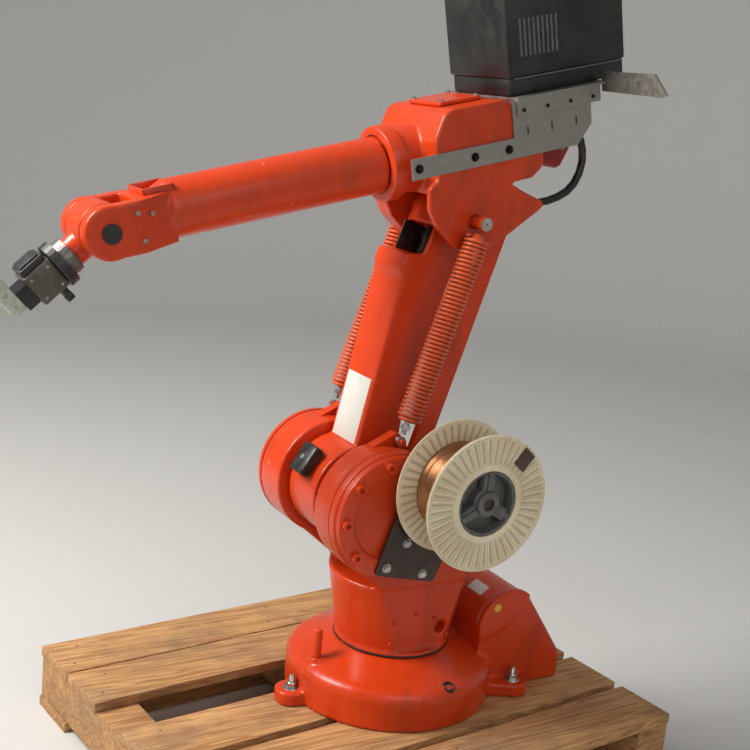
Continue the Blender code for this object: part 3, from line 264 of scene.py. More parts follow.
# The pallet: five sawn pine boards nailed to three stringers, over three floor runners.
# The boards have worn edges, a slight wander along their length and a dry, dirty face.
PALLET_TURN = radians(5.9)
BOARD_LONG = 1100 * MM
BOARD_WIDE = 145 * MM
BOARD_THICK = 22 * MM
BOARD_WORN = 1.6 * MM
BOARD_WANDER = 0.7 * MM
BOARD_CUTS = 16
SLOW_WAVE = 11
QUICK_WAVE = 27
PALLET_REAR = -490 * MM
PALLET_FAR = -482 * MM
PALLET_NEAR = 408 * MM
DECK_TOP = 144 * MM
SEAT_GAP = 0.3 * MM
BOARD_STARTS = (-482 * MM, -334 * MM, -68 * MM, 99 * MM, 263 * MM)
STRINGER_STARTS = (-486 * MM, 12.5 * MM, 511 * MM)
STRINGER_WIDE = 95 * MM
RUNNER_STARTS = (-482 * MM, -109.5 * MM, 263 * MM)
PINE_LIGHT = (0.63, 0.35, 0.14)
PINE_DARK = (0.36, 0.15, 0.05)
KNOT_BROWN = (0.12, 0.05, 0.02)
WOOD_DIRT = (0.2, 0.13, 0.08)
BOARD_SHIFT = (3.1, 1.7, 0.4)
STRINGER_SHIFT = (1.3, 2.9, 1.1)
RUNNER_SHIFT = (0.7, 4.3, 2.3)
STRINGER_TONE = 0.85
RUNNER_TONE = 0.8
NAIL_RADIUS = 3.6 * MM
NAIL_TALL = 1.0 * MM
NAIL_SHARES = ((0.3, 0.24), (0.7, 0.76))


def scaled(values, share):
    """All the values times a share, such as a colour in a darker or a paler tone."""
    return tuple(value * share for value in values)


def reckon(tree, operation, *values):
    """A sum on numbers and nodes' outputs."""
    node = grow(tree, "ShaderNodeMath", operation=operation)
    for socket, value in zip(node.inputs, values):
        if isinstance(value, (int, float)):
            socket.default_value = value
        else:
            tree.links.new(value, socket)
    return node.outputs[0]


def sawn_pine(name, light, dark, shift, crosswise):
    """Pine with stretched grain, knots, dark streaks and ground-in dirt."""
    finish, tree, shader = plain_tree(name, light, 0.7)
    turn = (0, 0, -PALLET_TURN - (pi / 2 if crosswise else 0))
    place = place_of(tree, (1.4, 22, 22), turn, shift)
    fine = place_of(tree, (3, 160, 160), turn, shift)
    flat = place_of(tree, (1, 1, 1), turn, shift)
    rings = noise(tree, place, 1.6, 4, 0.55, 0.9)
    fibre = noise(tree, fine, 1.5, 3, 0.6)
    growth = reckon(tree, "SINE", reckon(tree, "MULTIPLY", rings, 34))
    colour = tint(tree, band(tree, growth, -0.6, 1, 0, 0.75), light, dark)
    colour = tint(tree, band(tree, fibre, 0.45, 0.75, 0, 0.55), colour, scaled(dark, 0.55))
    knots = grow(tree, "ShaderNodeTexVoronoi", {"Scale": 4.2, "Randomness": 1.0})
    knot_place = place_of(tree, (0.55, 1.7, 1.7), turn, shift)
    tree.links.new(knot_place, knots.inputs["Vector"])
    knot = band(tree, knots.outputs["Distance"], 0.045, 0.085, 0.8, 0)
    colour = tint(tree, knot, colour, KNOT_BROWN)
    dirt = band(tree, noise(tree, flat, 5.5, 6, 0.65), 0.48, 0.72, 0, 0.7)
    colour = tint(tree, dirt, colour, WOOD_DIRT)
    coat(tree, shader, colour, band(tree, fibre, 0.2, 0.8, 0.6, 0.9))
    saw = grow(tree, "ShaderNodeTexWave", {"Scale": 42.0, "Distortion": 2.5, "Detail": 1.0},
               bands_direction="X")
    tree.links.new(flat, saw.inputs["Vector"])
    under = relief(tree, shader, fibre, 0.7, 0.9 * MM)
    relief(tree, shader, saw.outputs["Fac"], 0.12, 0.5 * MM, under)
    return finish


def mount(name, data, finish, body, nodes):
    """A mesh becomes an object that rides on a body and stands for its CAD nodes."""
    data.materials.clear()
    data.materials.append(finish)
    made = add(name, data)
    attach(made, body)
    if nodes:
        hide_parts(*nodes)
    return made


def piece(name, shape, finish, slot, body, *nodes, sharp=35):
    """A finished bmesh becomes a piece, with sharp edges above an angle."""
    bmesh.ops.recalc_face_normals(shape, faces=shape.faces)
    data = bpy.data.meshes.new(name)
    shape.to_mesh(data)
    shape.free()
    data.shade_smooth()
    data.set_sharp_from_angle(angle=radians(sharp))
    return mount(name, data, finish, body, nodes)


def bar(shape, low, high, worn, cuts=0, seat=Matrix.Identity(4)):
    """Adds a bar with rounded edges, cut across its length where it has to bend a little."""
    size = Vector(high) - Vector(low)
    middle = (Vector(high) + Vector(low)) / 2
    already = set(shape.verts)
    block_verts = bmesh.ops.create_cube(shape, size=1, matrix=Matrix.Translation(middle)
                                        @ Matrix.Diagonal((*size, 1)))["verts"]
    edges = list({edge for vert in block_verts for edge in vert.link_edges})
    bmesh.ops.bevel(shape, geom=edges, offset=worn, segments=2, profile=0.5,
                    affect="EDGES", material=-1, clamp_overlap=True)
    made = [vert for vert in shape.verts if vert not in already]
    if cuts:
        longest = max(range(3), key=lambda index: size[index])
        along = [edge for edge in {edge for vert in made for edge in vert.link_edges}
                 if abs((edge.verts[0].co - edge.verts[1].co)[longest]) > size[longest] / 2]
        bmesh.ops.subdivide_edges(shape, edges=along, cuts=cuts, use_grid_fill=True)
        made = [vert for vert in shape.verts if vert not in already]
    bmesh.ops.transform(shape, matrix=seat, verts=made)
    return made


def plank(node, low, high, shift, crosswise=False, tone=1.0):
    """One sawn board in the place of a node."""
    wood = bmesh.new()
    verts = bar(wood, low, high, BOARD_WORN, cuts=BOARD_CUTS)
    side, along = (0, 1) if crosswise else (1, 0)
    middle = (Vector(low) + Vector(high)) / 2
    for vert in verts:
        wave = (sin(vert.co[along] * SLOW_WAVE + shift[1])
                + sin(vert.co[along] * QUICK_WAVE + shift[0]) / 2)
        way = 1 if vert.co[side] > middle[side] else -1
        vert.co[side] -= way * BOARD_WANDER * (1.5 + wave)
    bmesh.ops.transform(wood, matrix=Matrix.Rotation(PALLET_TURN, 4, "Z"), verts=wood.verts)
    finish = sawn_pine(node.replace("_", " "), scaled(PINE_LIGHT, tone), scaled(PINE_DARK, tone),
                       shift, crosswise)
    piece(f"{node}_sawn", wood, finish, "pine", "base", node, sharp=50)


def drum(shape, seat, depth, radius, top=None, steps=18):
    """Adds a cylinder, or a cone with another top radius, centred on its seat."""
    top = radius if top is None else top
    return bmesh.ops.create_cone(shape, cap_ends=True, segments=steps, radius1=radius,
                                 radius2=top, depth=depth, matrix=seat)["verts"]


for number, start in enumerate(BOARD_STARTS, 1):
    plank(f"pallet_deck_board_{number}", (PALLET_REAR, start, DECK_TOP - BOARD_THICK),
          (PALLET_REAR + BOARD_LONG, start + BOARD_WIDE, DECK_TOP),
          scaled(BOARD_SHIFT, number), tone=1 - 0.05 * (number % 3))
for number, start in enumerate(STRINGER_STARTS, 1):
    plank(f"pallet_stringer_{number}", (start, PALLET_FAR, BOARD_THICK + SEAT_GAP),
          (start + STRINGER_WIDE, PALLET_NEAR, DECK_TOP - BOARD_THICK - SEAT_GAP),
          scaled(STRINGER_SHIFT, number), crosswise=True, tone=STRINGER_TONE)
for number, start in enumerate(RUNNER_STARTS, 1):
    plank(f"pallet_runner_{number}", (PALLET_REAR, start, 0),
          (PALLET_REAR + BOARD_LONG, start + BOARD_WIDE, BOARD_THICK),
          scaled(RUNNER_SHIFT, number), tone=RUNNER_TONE)

nail_steel = marked_finish("nail steel", (0.34, 0.31, 0.28), (0.16, 0.07, 0.03), (160, 3),
                           (0.4, 0.65), (0.4, 0.8), metallic=1)
nail_heads = bmesh.new()
for start in BOARD_STARTS:
    for stringer in STRINGER_STARTS:
        for along_share, across_share in NAIL_SHARES:
            spot = Vector((stringer + STRINGER_WIDE * along_share,
                           start + BOARD_WIDE * across_share, DECK_TOP - SEAT_GAP))
            drum(nail_heads, Matrix.Rotation(PALLET_TURN, 4, "Z") @ Matrix.Translation(spot),
                 NAIL_TALL, NAIL_RADIUS, NAIL_RADIUS * 0.8, steps=10)
piece("pallet_nails", nail_heads, nail_steel, "bare_steel", "base")

# The base casting: one sand casting, painted orange, a low cone with three foot lugs and a
# tail with a round hump. Moulding leaves all its edges and inner corners rounded.
ORANGE = (0.67, 0.05, 0.005)
GRIME_BROWN = (0.17, 0.03, 0.012)
SCUFF_PALE = (0.8, 0.27, 0.12)
CHIP_DARK = (0.06, 0.035, 0.03)
CAST_SKIN = 3.6 * MM


def enamel(name, colour, rough=0.26, wear=0.55):
    """Machine enamel over a casting: flow marks, dust, scuffs and dark chips."""
    finish, tree, shader = plain_tree(name, colour, rough)
    place = place_of(tree)
    cloud = band(tree, noise(tree, place, 5, 5, 0.6), 0.35, 0.7)
    paint = tint(tree, cloud, colour, scaled(colour, 0.8))
    grime_place = place_of(tree, (9, 9, 2.2))
    grime = band(tree, noise(tree, grime_place, 1.6, 7, 0.7), 0.52, 0.8, 0, wear)
    paint = tint(tree, grime, paint, GRIME_BROWN)
    scuff_place = place_of(tree, (60, 14, 26), (0.5, 0.3, 0.9))
    scuff = band(tree, noise(tree, scuff_place, 1.2, 3, 0.6), 0.7, 0.76, 0, wear)
    paint = tint(tree, scuff, paint, SCUFF_PALE)
    chips = band(tree, noise(tree, place, 55, 5, 0.75), 0.72, 0.74, 0, wear)
    paint = tint(tree, chips, paint, CHIP_DARK)
    dull = band(tree, noise(tree, place, 9, 6, 0.7), 0.3, 0.75, rough - 0.06, rough + 0.24)
    coat(tree, shader, paint, dull)
    shader.inputs["Specular IOR Level"].default_value = 0.4
    shader.inputs["Coat Weight"].default_value = 0.16
    shader.inputs["Coat Roughness"].default_value = 0.08
    skin = relief(tree, shader, noise(tree, place, 90, 3, 0.55), 0.16, 0.9 * MM)
    peel = relief(tree, shader, noise(tree, place, 420, 2, 0.5), 0.1, 0.3 * MM, skin)
    relief(tree, shader, chips, 0.35, -0.25 * MM, peel)
    return finish


orange_enamel = enamel("orange enamel", ORANGE)


def sand_cast(node, body, skin=CAST_SKIN, passes=6):
    """The casting of a node with its edges and inner corners rounded, as a mould leaves them."""
    shape = bmesh.new()
    shape.from_mesh(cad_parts[node].data)
    bmesh.ops.remove_doubles(shape, verts=shape.verts, dist=0.02 * MM)
    rough_mesh = bpy.data.meshes.new(f"{node}_pattern")
    shape.to_mesh(rough_mesh)
    shape.free()
    pattern = add(f"{node}_pattern", rough_mesh)
    mould = pattern.modifiers.new("mould", "REMESH")
    mould.mode = "VOXEL"
    mould.voxel_size = skin
    fettle = pattern.modifiers.new("fettle", "SMOOTH")
    fettle.factor = 0.5
    fettle.iterations = passes
    bpy.context.view_layer.update()
    evaluated = pattern.evaluated_get(bpy.context.evaluated_depsgraph_get())
    cast_mesh = bpy.data.meshes.new_from_object(evaluated)
    bpy.data.objects.remove(pattern, do_unlink=True)
    cast_mesh.name = f"{node}_cast"
    cast_mesh.shade_smooth()
    mount(f"{node}_cast", cast_mesh, orange_enamel, body, [node])


def dress(finish, *nodes):
    """A CAD node keeps its shape and gets its real finish."""
    for node in nodes:
        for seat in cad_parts[node].material_slots:
            seat.material = finish


sand_cast("base_casting", "base")
dress(orange_enamel, "base_stop_peg")

# Small things on the base: a white tag on the hump of the tail, a round yellow sticker on its
# side, and a black disc with a raised rim in the hole of the cone, which paints the shade inside
# the hole.
FLOOR_OF_BASE = 144.3 * MM
HUMP = Vector((-236 * MM, 0, FLOOR_OF_BASE + 154 * MM))
TAG_SLOPE = radians(33)
TAG = ((-14, 20, 77), (14, 70, 79), 0.4)
DOT_PLACE = (-195 * MM, 122.2 * MM, FLOOR_OF_BASE + 201 * MM)
DOT_RADIUS = 9 * MM
DOT_THICK = 0.8 * MM
CONE_HOLE_SHADE = Vector((-20 * MM, 211 * MM, FLOOR_OF_BASE + 87 * MM))
CONE_SLOPE = Vector((-0.03, 0.48, 0.88)).normalized()
HOLE_SHADE_OUTLINE = [(0, -2), (13.5, -2), (13.5, 1), (12.6, 2), (10.4, 2), (9.6, 1), (9, -0.6),
                (0, -0.6)]


def blank_sticker(name, colour):
    """A printed film sticker, a little yellowed and scuffed, with nothing on it."""
    return marked_finish(name, colour, scaled(colour, 0.6), (80, 5, 0.7), (0.55, 0.75, 0, 0.6),
                         (0.35, 0.35), (150, 2, 0.1, 0.2))


def block(shape, seat, form, shift=(0, 0, 0)):
    """Adds a bar to a seat: form is two corners and the radius of the edges, in millimetres."""
    low, high = (Vector(corner) + Vector(shift) for corner in form[:2])
    bar(shape, low * MM, high * MM, form[2] * MM, seat=seat)


def blocks(seat, *forms):
    """A new shape made of such bars."""
    shape = bmesh.new()
    for form in forms:
        block(shape, seat, form)
    return shape


def facing(direction):
    """The turn that points +Z along a direction."""
    return Vector(direction).normalized().to_track_quat("Z", "X").to_matrix().to_4x4()


def turned_piece(outline, place, direction, steps):
    """A lathe-turned shape from pairs of radius and height, closed round its own axis."""
    shape = bmesh.new()
    verts = [shape.verts.new((radius * MM, 0, height * MM)) for radius, height in outline]
    edges = [shape.edges.new(pair) for pair in zip(verts, verts[1:])]
    if outline[0][0] > 0:
        edges.append(shape.edges.new((verts[-1], verts[0])))
    bmesh.ops.spin(shape, geom=verts + edges, cent=(0, 0, 0), axis=(0, 0, 1), angle=2 * pi,
                   steps=steps, use_merge=True)
    bmesh.ops.remove_doubles(shape, verts=shape.verts, dist=0.02 * MM)
    bmesh.ops.transform(shape, matrix=Matrix.Translation(place) @ facing(direction),
                        verts=shape.verts)
    return shape


white_film = blank_sticker("white film", (0.7, 0.68, 0.62))
tail_tag = blocks(Matrix.Translation(HUMP) @ Matrix.Rotation(TAG_SLOPE, 4, "Y"), TAG)
piece("tail_tag", tail_tag, white_film, "cream_plastic", "base")
tail_dot = bmesh.new()
drum(tail_dot, Matrix.Translation(DOT_PLACE) @ Matrix.Rotation(-pi / 2, 4, "X"), DOT_THICK,
     DOT_RADIUS, steps=28)
piece("tail_dot", tail_dot, blank_sticker("yellow film", (0.75, 0.5, 0.04)), "cream_plastic",
      "base")
# Painted shade: a black disc with a raised rim sits where the cone has a hole, for the dark
# inside of the hole.
piece("cone_plug", turned_piece(HOLE_SHADE_OUTLINE, CONE_HOLE_SHADE, CONE_SLOPE, 28), hose_rubber,
      "black_rubber", "base")

# Foot bolts: zinc-plated studs with a nut and washer through each lug, bright where the
# spanner has polished them.
LUG_PLACES = ((238, 0), (-246.6, 136.7), (-246.6, -136.7))
LUG_TOP = FLOOR_OF_BASE + 30 * MM
FOOT_NUT = (22 * MM, 12 * MM, 19 * MM)
STUD_RADIUS = 6.2 * MM
STUD_ROOT = 5.2 * MM
STUD_START = 13.5
STUD_PITCH = 1.6
STUD_THREADS = 10
HEX_CORNER = 0.577
HEX_TALL = 0.78
CHAMFER = (0.86, 0.72)
WASHER_THICK = 1.6 * MM
WASHER_TAPER = 0.96
HEAD_TAPER = 0.93
SOCKET_RIM = 0.42
SOCKET_SLOPE = 0.02
SOCKET_DEEP = 0.6


def plated_steel(name, colour=(0.62, 0.62, 0.6), rough=0.24):
    """Plated or turned steel with fine scratches and dull patches."""
    finish, tree, shader = plain_tree(name, colour, rough, 1)
    place = place_of(tree)
    patch = band(tree, noise(tree, place, 70, 5, 0.65), 0.4, 0.7)
    coat(tree, shader, tint(tree, patch, colour, scaled(colour, 0.55)),
         band(tree, patch, 0, 1, rough, rough + 0.25))
    scratch = place_of(tree, (30, 400, 400))
    relief(tree, shader, noise(tree, scratch, 2, 2), 0.1, 0.2 * MM)
    return finish


bright_steel = plated_steel("bright steel")


def raised(seat, height):
    """A seat moved along its own Z."""
    return seat @ Matrix.Translation((0, 0, height))


def hex_bolt(shape, place, direction, across_flats, tall, washer=0):
    """A hexagon head with a chamfered top, on an optional washer; place is its underside."""
    seat = Matrix.Translation(place) @ facing(direction)
    radius = across_flats * HEX_CORNER
    lift = WASHER_THICK if washer else 0
    if washer:
        drum(shape, raised(seat, lift / 2), lift, washer, washer * WASHER_TAPER)
    head = tall * HEX_TALL
    drum(shape, raised(seat, lift + head / 2), head, radius, steps=6)
    drum(shape, raised(seat, lift + (tall + head) / 2), tall - head, *scaled(CHAMFER, radius),
         steps=12)


def socket_screw(shape, place, direction, radius, tall):
    """A socket-head screw with its hollow; place is the underside of the head."""
    seat = Matrix.Translation(place) @ facing(direction)
    made = drum(shape, raised(seat, tall / 2), tall, radius, radius * HEAD_TAPER)
    faces = {face for vert in made for face in vert.link_faces}
    way = Vector(direction).normalized()
    top = max(faces, key=lambda face: face.calc_center_median().dot(way))
    bmesh.ops.inset_individual(shape, faces=[top], thickness=radius * SOCKET_RIM)
    bmesh.ops.inset_individual(shape, faces=[top], thickness=radius * SOCKET_SLOPE,
                               depth=-tall * SOCKET_DEEP)


foot_bolts = bmesh.new()
for x, y in LUG_PLACES:
    lug_top = Vector((x * MM, y * MM, LUG_TOP))
    hex_bolt(foot_bolts, lug_top, (0, 0, 1), *FOOT_NUT)
    for thread in range(STUD_THREADS):
        rise = Vector((0, 0, (STUD_START + STUD_PITCH * thread) * MM))
        drum(foot_bolts, Matrix.Translation(lug_top + rise), STUD_PITCH * MM, STUD_RADIUS,
             STUD_ROOT, steps=14)
piece("foot_bolts", foot_bolts, bright_steel, "bare_steel", "base")

# The turret: a sand casting on the base bearing, with two ears that hold the second axis. A
# black seal lies in the bearing's gap, and small screws are painted over on the neck.
SEAL_PLACE = (0, 0, FLOOR_OF_BASE + 121.5 * MM)
SEAL_RADIUS = 128.2 * MM
SEAL_TALL = 4 * MM
SEAL_WORN = 1 * MM
NECK_FACE = 109.6
NECK_SCREWS = ((64, 342), (12, 356), (-36, 340), (70, 296), (-70, 300))
NECK_HEAD = (5.5 * MM, 4 * MM)

sand_cast("turret_frame", "turret")
bearing_seal = bmesh.new()
drum(bearing_seal, Matrix.Translation(SEAL_PLACE), SEAL_TALL, SEAL_RADIUS, steps=72)
bmesh.ops.bevel(bearing_seal, geom=bearing_seal.edges[:], offset=SEAL_WORN, segments=2,
                profile=0.5, affect="EDGES", material=-1, clamp_overlap=True)
piece("bearing_seal", bearing_seal, hose_rubber, "black_rubber", "turret")
neck_screws = bmesh.new()
for x, z in NECK_SCREWS:
    for side in (-1, 1):
        socket_screw(neck_screws, Vector((x, side * NECK_FACE, z)) * MM, (0, side, 0),
                     *NECK_HEAD)
piece("neck_screws", neck_screws, orange_enamel, "orange_paint", "turret")

# Gearbox covers: turned castings bolted to the drums with large socket screws, painted over
# with them. The near one has a raised rim round a shallow dish.
AXIS_2 = Vector((150 * MM, 0, 618.3 * MM))
COVER_SEAT = 150.3 * MM
NEAR_OUTLINE = [(0, 0), (129, 0), (129, 11), (128, 12), (126.6, 12.3), (126.6, 14.7), (128, 15),
                (129, 16), (129, 31), (128.4, 32.4), (126.4, 33), (124.6, 33.6), (124, 35),
                (124, 42), (123, 45), (120, 46), (92, 46), (88.5, 45.2), (86.5, 43), (85.5, 41),
                (83, 40), (30, 40), (0, 40)]
FAR_OUTLINE = [(0, 0), (126, 0), (126, 9), (124.5, 12.5), (121, 15), (93, 15), (89, 13.5),
               (86, 9.5), (84, 9), (0, 9)]
COVER_STEPS = 80
NEAR_SCREWS = [Vector((108 * cos(radians(angle)), 196, 108 * sin(radians(angle)))) * MM
               for angle in (118, 78, 38, -2, -42)]
FAR_SCREWS = [Vector((107 * cos(radians(angle)), -165, 107 * sin(radians(angle)))) * MM
              for angle in range(0, 360, 40)]
NEAR_HEAD = (10.5 * MM, 11 * MM)
FAR_HEAD = (8 * MM, 6 * MM)
SCREW_BOSS = {"depth": 3 * MM, "radius": 15 * MM, "top": 13.5 * MM}

for word, side, outline in (("near", 1, NEAR_OUTLINE), ("far", -1, FAR_OUTLINE)):
    cover = turned_piece(outline, AXIS_2 + Vector((0, side * COVER_SEAT, 0)), (0, side, 0),
                         COVER_STEPS)
    piece(f"{word}_cover_turned", cover, orange_enamel, "orange_paint", "turret",
          f"{word}_gearbox_cover")
cover_screws = bmesh.new()
for spot in NEAR_SCREWS:
    drum(cover_screws, Matrix.Translation(AXIS_2 + spot) @ facing((0, 1, 0)), steps=24,
         **SCREW_BOSS)
    socket_screw(cover_screws, AXIS_2 + spot, (0, 1, 0), *NEAR_HEAD)
for spot in FAR_SCREWS:
    socket_screw(cover_screws, AXIS_2 + spot, (0, -1, 0), *FAR_HEAD)
piece("cover_screws", cover_screws, orange_enamel, "orange_paint", "turret")
dress(orange_enamel, "near_spring_anchor", "far_spring_anchor")

# The spool bracket: a sheet in dark brown satin paint, screwed to the near cover, with a
# spindle for the wire spool.
BRACKET_SCREWS = ((160, 516.3), (74, 494.3), (118, 564.3), (30, 614.3))
BRACKET_FACE = 201.6
BRACKET_HEAD = (13 * MM, 6 * MM, 10 * MM)

dark_sheet = marked_finish("dark sheet", (0.04, 0.02, 0.017), (0.13, 0.075, 0.055),
                           (18, 6, 0.7), (0.45, 0.8), (0.34, 0.62), (260, 2, 0.15, 0.3))
dress(dark_sheet, "spool_bracket")
bracket_screws = bmesh.new()
for x, z in BRACKET_SCREWS:
    hex_bolt(bracket_screws, Vector((x, BRACKET_FACE, z)) * MM, (0, 1, 0), *BRACKET_HEAD)
piece("bracket_screws", bracket_screws, bright_steel, "bare_steel", "turret")

# The wire spool: a moulded cream plastic spool with thin ribbed flanges and a blank label,
# nearly full of coppered welding wire wound in even layers. SPOOL_WIDE is in millimetres.
SPOOL_PLACE = Vector((31, 221, 683.3)) * MM
SPOOL_WIDE = 112
SPOOL_RIBS = 44
SPOOL_STEPS = 96
SPOOL_OUTLINE = [(66, 0.3), (134.5, 0.3), (137, 1.2), (137, 3.4), (134, 4), (74, 4), (72, 6),
                 (72, SPOOL_WIDE - 6), (74, SPOOL_WIDE - 4), (132.5, SPOOL_WIDE - 4),
                 (133, SPOOL_WIDE - 1.4), (134, SPOOL_WIDE - 0.2), (136, SPOOL_WIDE),
                 (137, SPOOL_WIDE - 1.2), (137, SPOOL_WIDE - 5), (137, SPOOL_WIDE - 1.1),
                 (134.5, SPOOL_WIDE), (132, SPOOL_WIDE - 2.2), (80, SPOOL_WIDE - 2.2),
                 (78, SPOOL_WIDE), (66, SPOOL_WIDE)]
RIB = ((79, SPOOL_WIDE - 2.6, -1.4), (133, SPOOL_WIDE + 0.4, 1.4), 0.6)
LABEL = ((-16, SPOOL_WIDE - 0.4, 92), (16, SPOOL_WIDE + 0.9, 131), 0.3)
LABEL_TURN = radians(-42)
WIRE_CORE = 72.3
WIRE_FULL = 95.6
WIRE_EDGE = 4.6
WIRE_UNEVEN = 1.5
EDGE_DROP = 2.2
LAYER_STEPS = 26
LAYER_WAVE = 1.9


def cream_plastic():
    """Cream moulded plastic, yellowed in patches, with painted shade in the grooves between the
    ribs.
    """
    finish, tree, shader = plain_tree("cream plastic", (0.8, 0.72, 0.52), 0.4)
    place = place_of(tree)
    age = band(tree, noise(tree, place, 12, 5, 0.6), 0.35, 0.75)
    cream = tint(tree, age, (0.82, 0.75, 0.56), (0.66, 0.55, 0.35))
    centred = grow(tree, "ShaderNodeSeparateXYZ")
    tree.links.new(place_of(tree, shift=-SPOOL_PLACE), centred.inputs[0])
    angle = reckon(tree, "ARCTAN2", centred.outputs["Z"], centred.outputs["X"])
    swing = reckon(tree, "COSINE", reckon(tree, "MULTIPLY", angle, SPOOL_RIBS))
    reach = grow(tree, "ShaderNodeVectorMath", {1: (1, 0, 1)}, operation="MULTIPLY")
    tree.links.new(place_of(tree, shift=-SPOOL_PLACE), reach.inputs[0])
    radius = grow(tree, "ShaderNodeVectorMath", operation="LENGTH")
    tree.links.new(reach.outputs[0], radius.inputs[0])
    inside = band(tree, radius.outputs["Value"], 78 * MM, 84 * MM)
    outside = band(tree, radius.outputs["Value"], 126 * MM, 132 * MM, 1, 0)
    # Painted shade: the flange is darkened between the ribs, by the angle round the spool's axis.
    groove_shade = reckon(tree, "MULTIPLY", band(tree, swing, -0.1, -0.8, 0, 0.55),
                    reckon(tree, "MULTIPLY", inside, outside))
    coat(tree, shader, tint(tree, groove_shade, cream, (0.3, 0.22, 0.11)),
         band(tree, age, 0, 1, 0.33, 0.55))
    shader.inputs["Subsurface Weight"].default_value = 0.08
    shader.inputs["Subsurface Scale"].default_value = 0.004
    relief(tree, shader, noise(tree, place, 200, 2), 0.08, 0.3 * MM)
    return finish


def spool_seat(angle):
    """A seat on the spool's axis, turned round it."""
    return Matrix.Translation(SPOOL_PLACE) @ Matrix.Rotation(angle, 4, "Y")


spool_body = turned_piece(SPOOL_OUTLINE, SPOOL_PLACE, (0, 1, 0), SPOOL_STEPS)
for rib in range(SPOOL_RIBS):
    block(spool_body, spool_seat(2 * pi * rib / SPOOL_RIBS), RIB)
piece("spool_moulded", spool_body, cream_plastic(), "cream_plastic", "spool", "wire_spool",
      sharp=25)
piece("spool_label", blocks(spool_seat(LABEL_TURN), LABEL),
      blank_sticker("brown label", (0.07, 0.045, 0.03)), "dark_sheet", "spool")


def copper_wire():
    """Coppered wire: fine turns side by side, with painted shade between them, and tarnished in
    patches.
    """
    finish, tree, shader = plain_tree("copper wire", (0.62, 0.3, 0.14), 0.32, 1)
    place = place_of(tree)
    turns = grow(tree, "ShaderNodeTexWave", {"Scale": 130.0, "Distortion": 0.6, "Detail": 1.0},
                 bands_direction="Y")
    tree.links.new(place, turns.inputs["Vector"])
    tarnish = band(tree, noise(tree, place, 26, 4), 0.4, 0.7, 0, 0.5)
    # Painted shade: the pattern of the turns darkens the wire in the valleys between them.
    colour = tint(tree, band(tree, turns.outputs["Fac"], 0.1, 0.6), (0.16, 0.06, 0.03),
                  (0.66, 0.32, 0.15))
    coat(tree, shader, tint(tree, tarnish, colour, (0.3, 0.13, 0.06)))
    relief(tree, shader, turns.outputs["Fac"], 0.7, 0.6 * MM)
    return finish


layer_line = [(WIRE_CORE, WIRE_EDGE)]
for step in range(LAYER_STEPS + 1):
    across_spool = WIRE_EDGE + (SPOOL_WIDE - 2 * WIRE_EDGE) * step / LAYER_STEPS
    bulge = WIRE_FULL - WIRE_UNEVEN * abs(sin(step * LAYER_WAVE))
    layer_line.append((bulge - (EDGE_DROP if step in (0, LAYER_STEPS) else 0), across_spool))
layer_line.append((WIRE_CORE, SPOOL_WIDE - WIRE_EDGE))
winding = turned_piece(layer_line, SPOOL_PLACE, (0, 1, 0), 72)
piece("winding_layers", winding, copper_wire(), "copper_wire", "spool", "wire_winding")

# The spool's hub: dark grey moulded plastic, a hollow cup with a three-armed lock in it.
HUB_OUTLINE = [(12.4, 1), (65.7, 1), (65.7, SPOOL_WIDE - 3), (64.5, SPOOL_WIDE - 2),
               (60, SPOOL_WIDE - 2), (59, SPOOL_WIDE - 3.5), (57, SPOOL_WIDE - 26),
               (30, SPOOL_WIDE - 26), (29, SPOOL_WIDE - 6), (26, SPOOL_WIDE - 4),
               (24, SPOOL_WIDE + 3), (22, SPOOL_WIDE + 4), (12.4, SPOOL_WIDE + 4)]
HUB_ARMS = 3
HUB_TURN = 0.5
ARM_BARS = (((18, SPOOL_WIDE - 24, -13), (58, SPOOL_WIDE - 3, 13), 4),
            ((26, SPOOL_WIDE - 5, -6), (63, SPOOL_WIDE + 1.5, 6), 2))


def grey_plastic(name, colour):
    """Moulded plastic with a fine leather grain and rubbed edges."""
    return marked_finish(name, colour, scaled(colour, 1.7), (45, 5, 0.7), (0.45, 0.75),
                         (0.38, 0.6), (700, 2, 0.15, 0.2))


hub = turned_piece(HUB_OUTLINE, SPOOL_PLACE, (0, 1, 0), 48)
for arm in range(HUB_ARMS):
    for form in ARM_BARS:
        block(hub, spool_seat(2 * pi * arm / HUB_ARMS + HUB_TURN), form)
piece("hub_moulded", hub, grey_plastic("hub plastic", (0.1, 0.1, 0.095)), "grey_plastic",
      "spool", "spool_hub", sharp=30)

# The lower arm: a deep sand casting between the ears, with a black rubber stop on its hub, a bare
# white sticker on its front face, and black sheet lining the pocket near its head as painted
# shade.
LOWER_ARM = Matrix.Translation(AXIS_2) @ Matrix.Rotation(radians(-17), 4, "Y")
LOWER_ARM_SKIN = 3.2 * MM
STOP_SEAT = Matrix.Translation(AXIS_2) @ Matrix.Rotation(radians(-34), 4, "Y")
STOP = ((105.3, -26, -33), (131, 26, 33), 7)
STOP_SCREW = Vector((130.4, 0, 0)) * MM
STOP_HEAD = (6.5 * MM, 2.2 * MM)
POCKET_SHADE_BACK = ((6.6, -43, 506), (9.5, 43, 562), 0.8)
POCKET_SHADE_SIDE = ((7, -1.4, 503), (58, 1.4, 565), 0.6)
POCKET_SHADE_SIDE_PLACE = 44.6
FRONT_SLOPE = (LOWER_ARM @ Matrix.Translation((46.4 * MM, 0, 90 * MM))
               @ Matrix.Rotation(radians(5.8), 4, "Y"))
STICKER = ((-0.4, -46, -6), (0.5, 45, 144), 0.2)

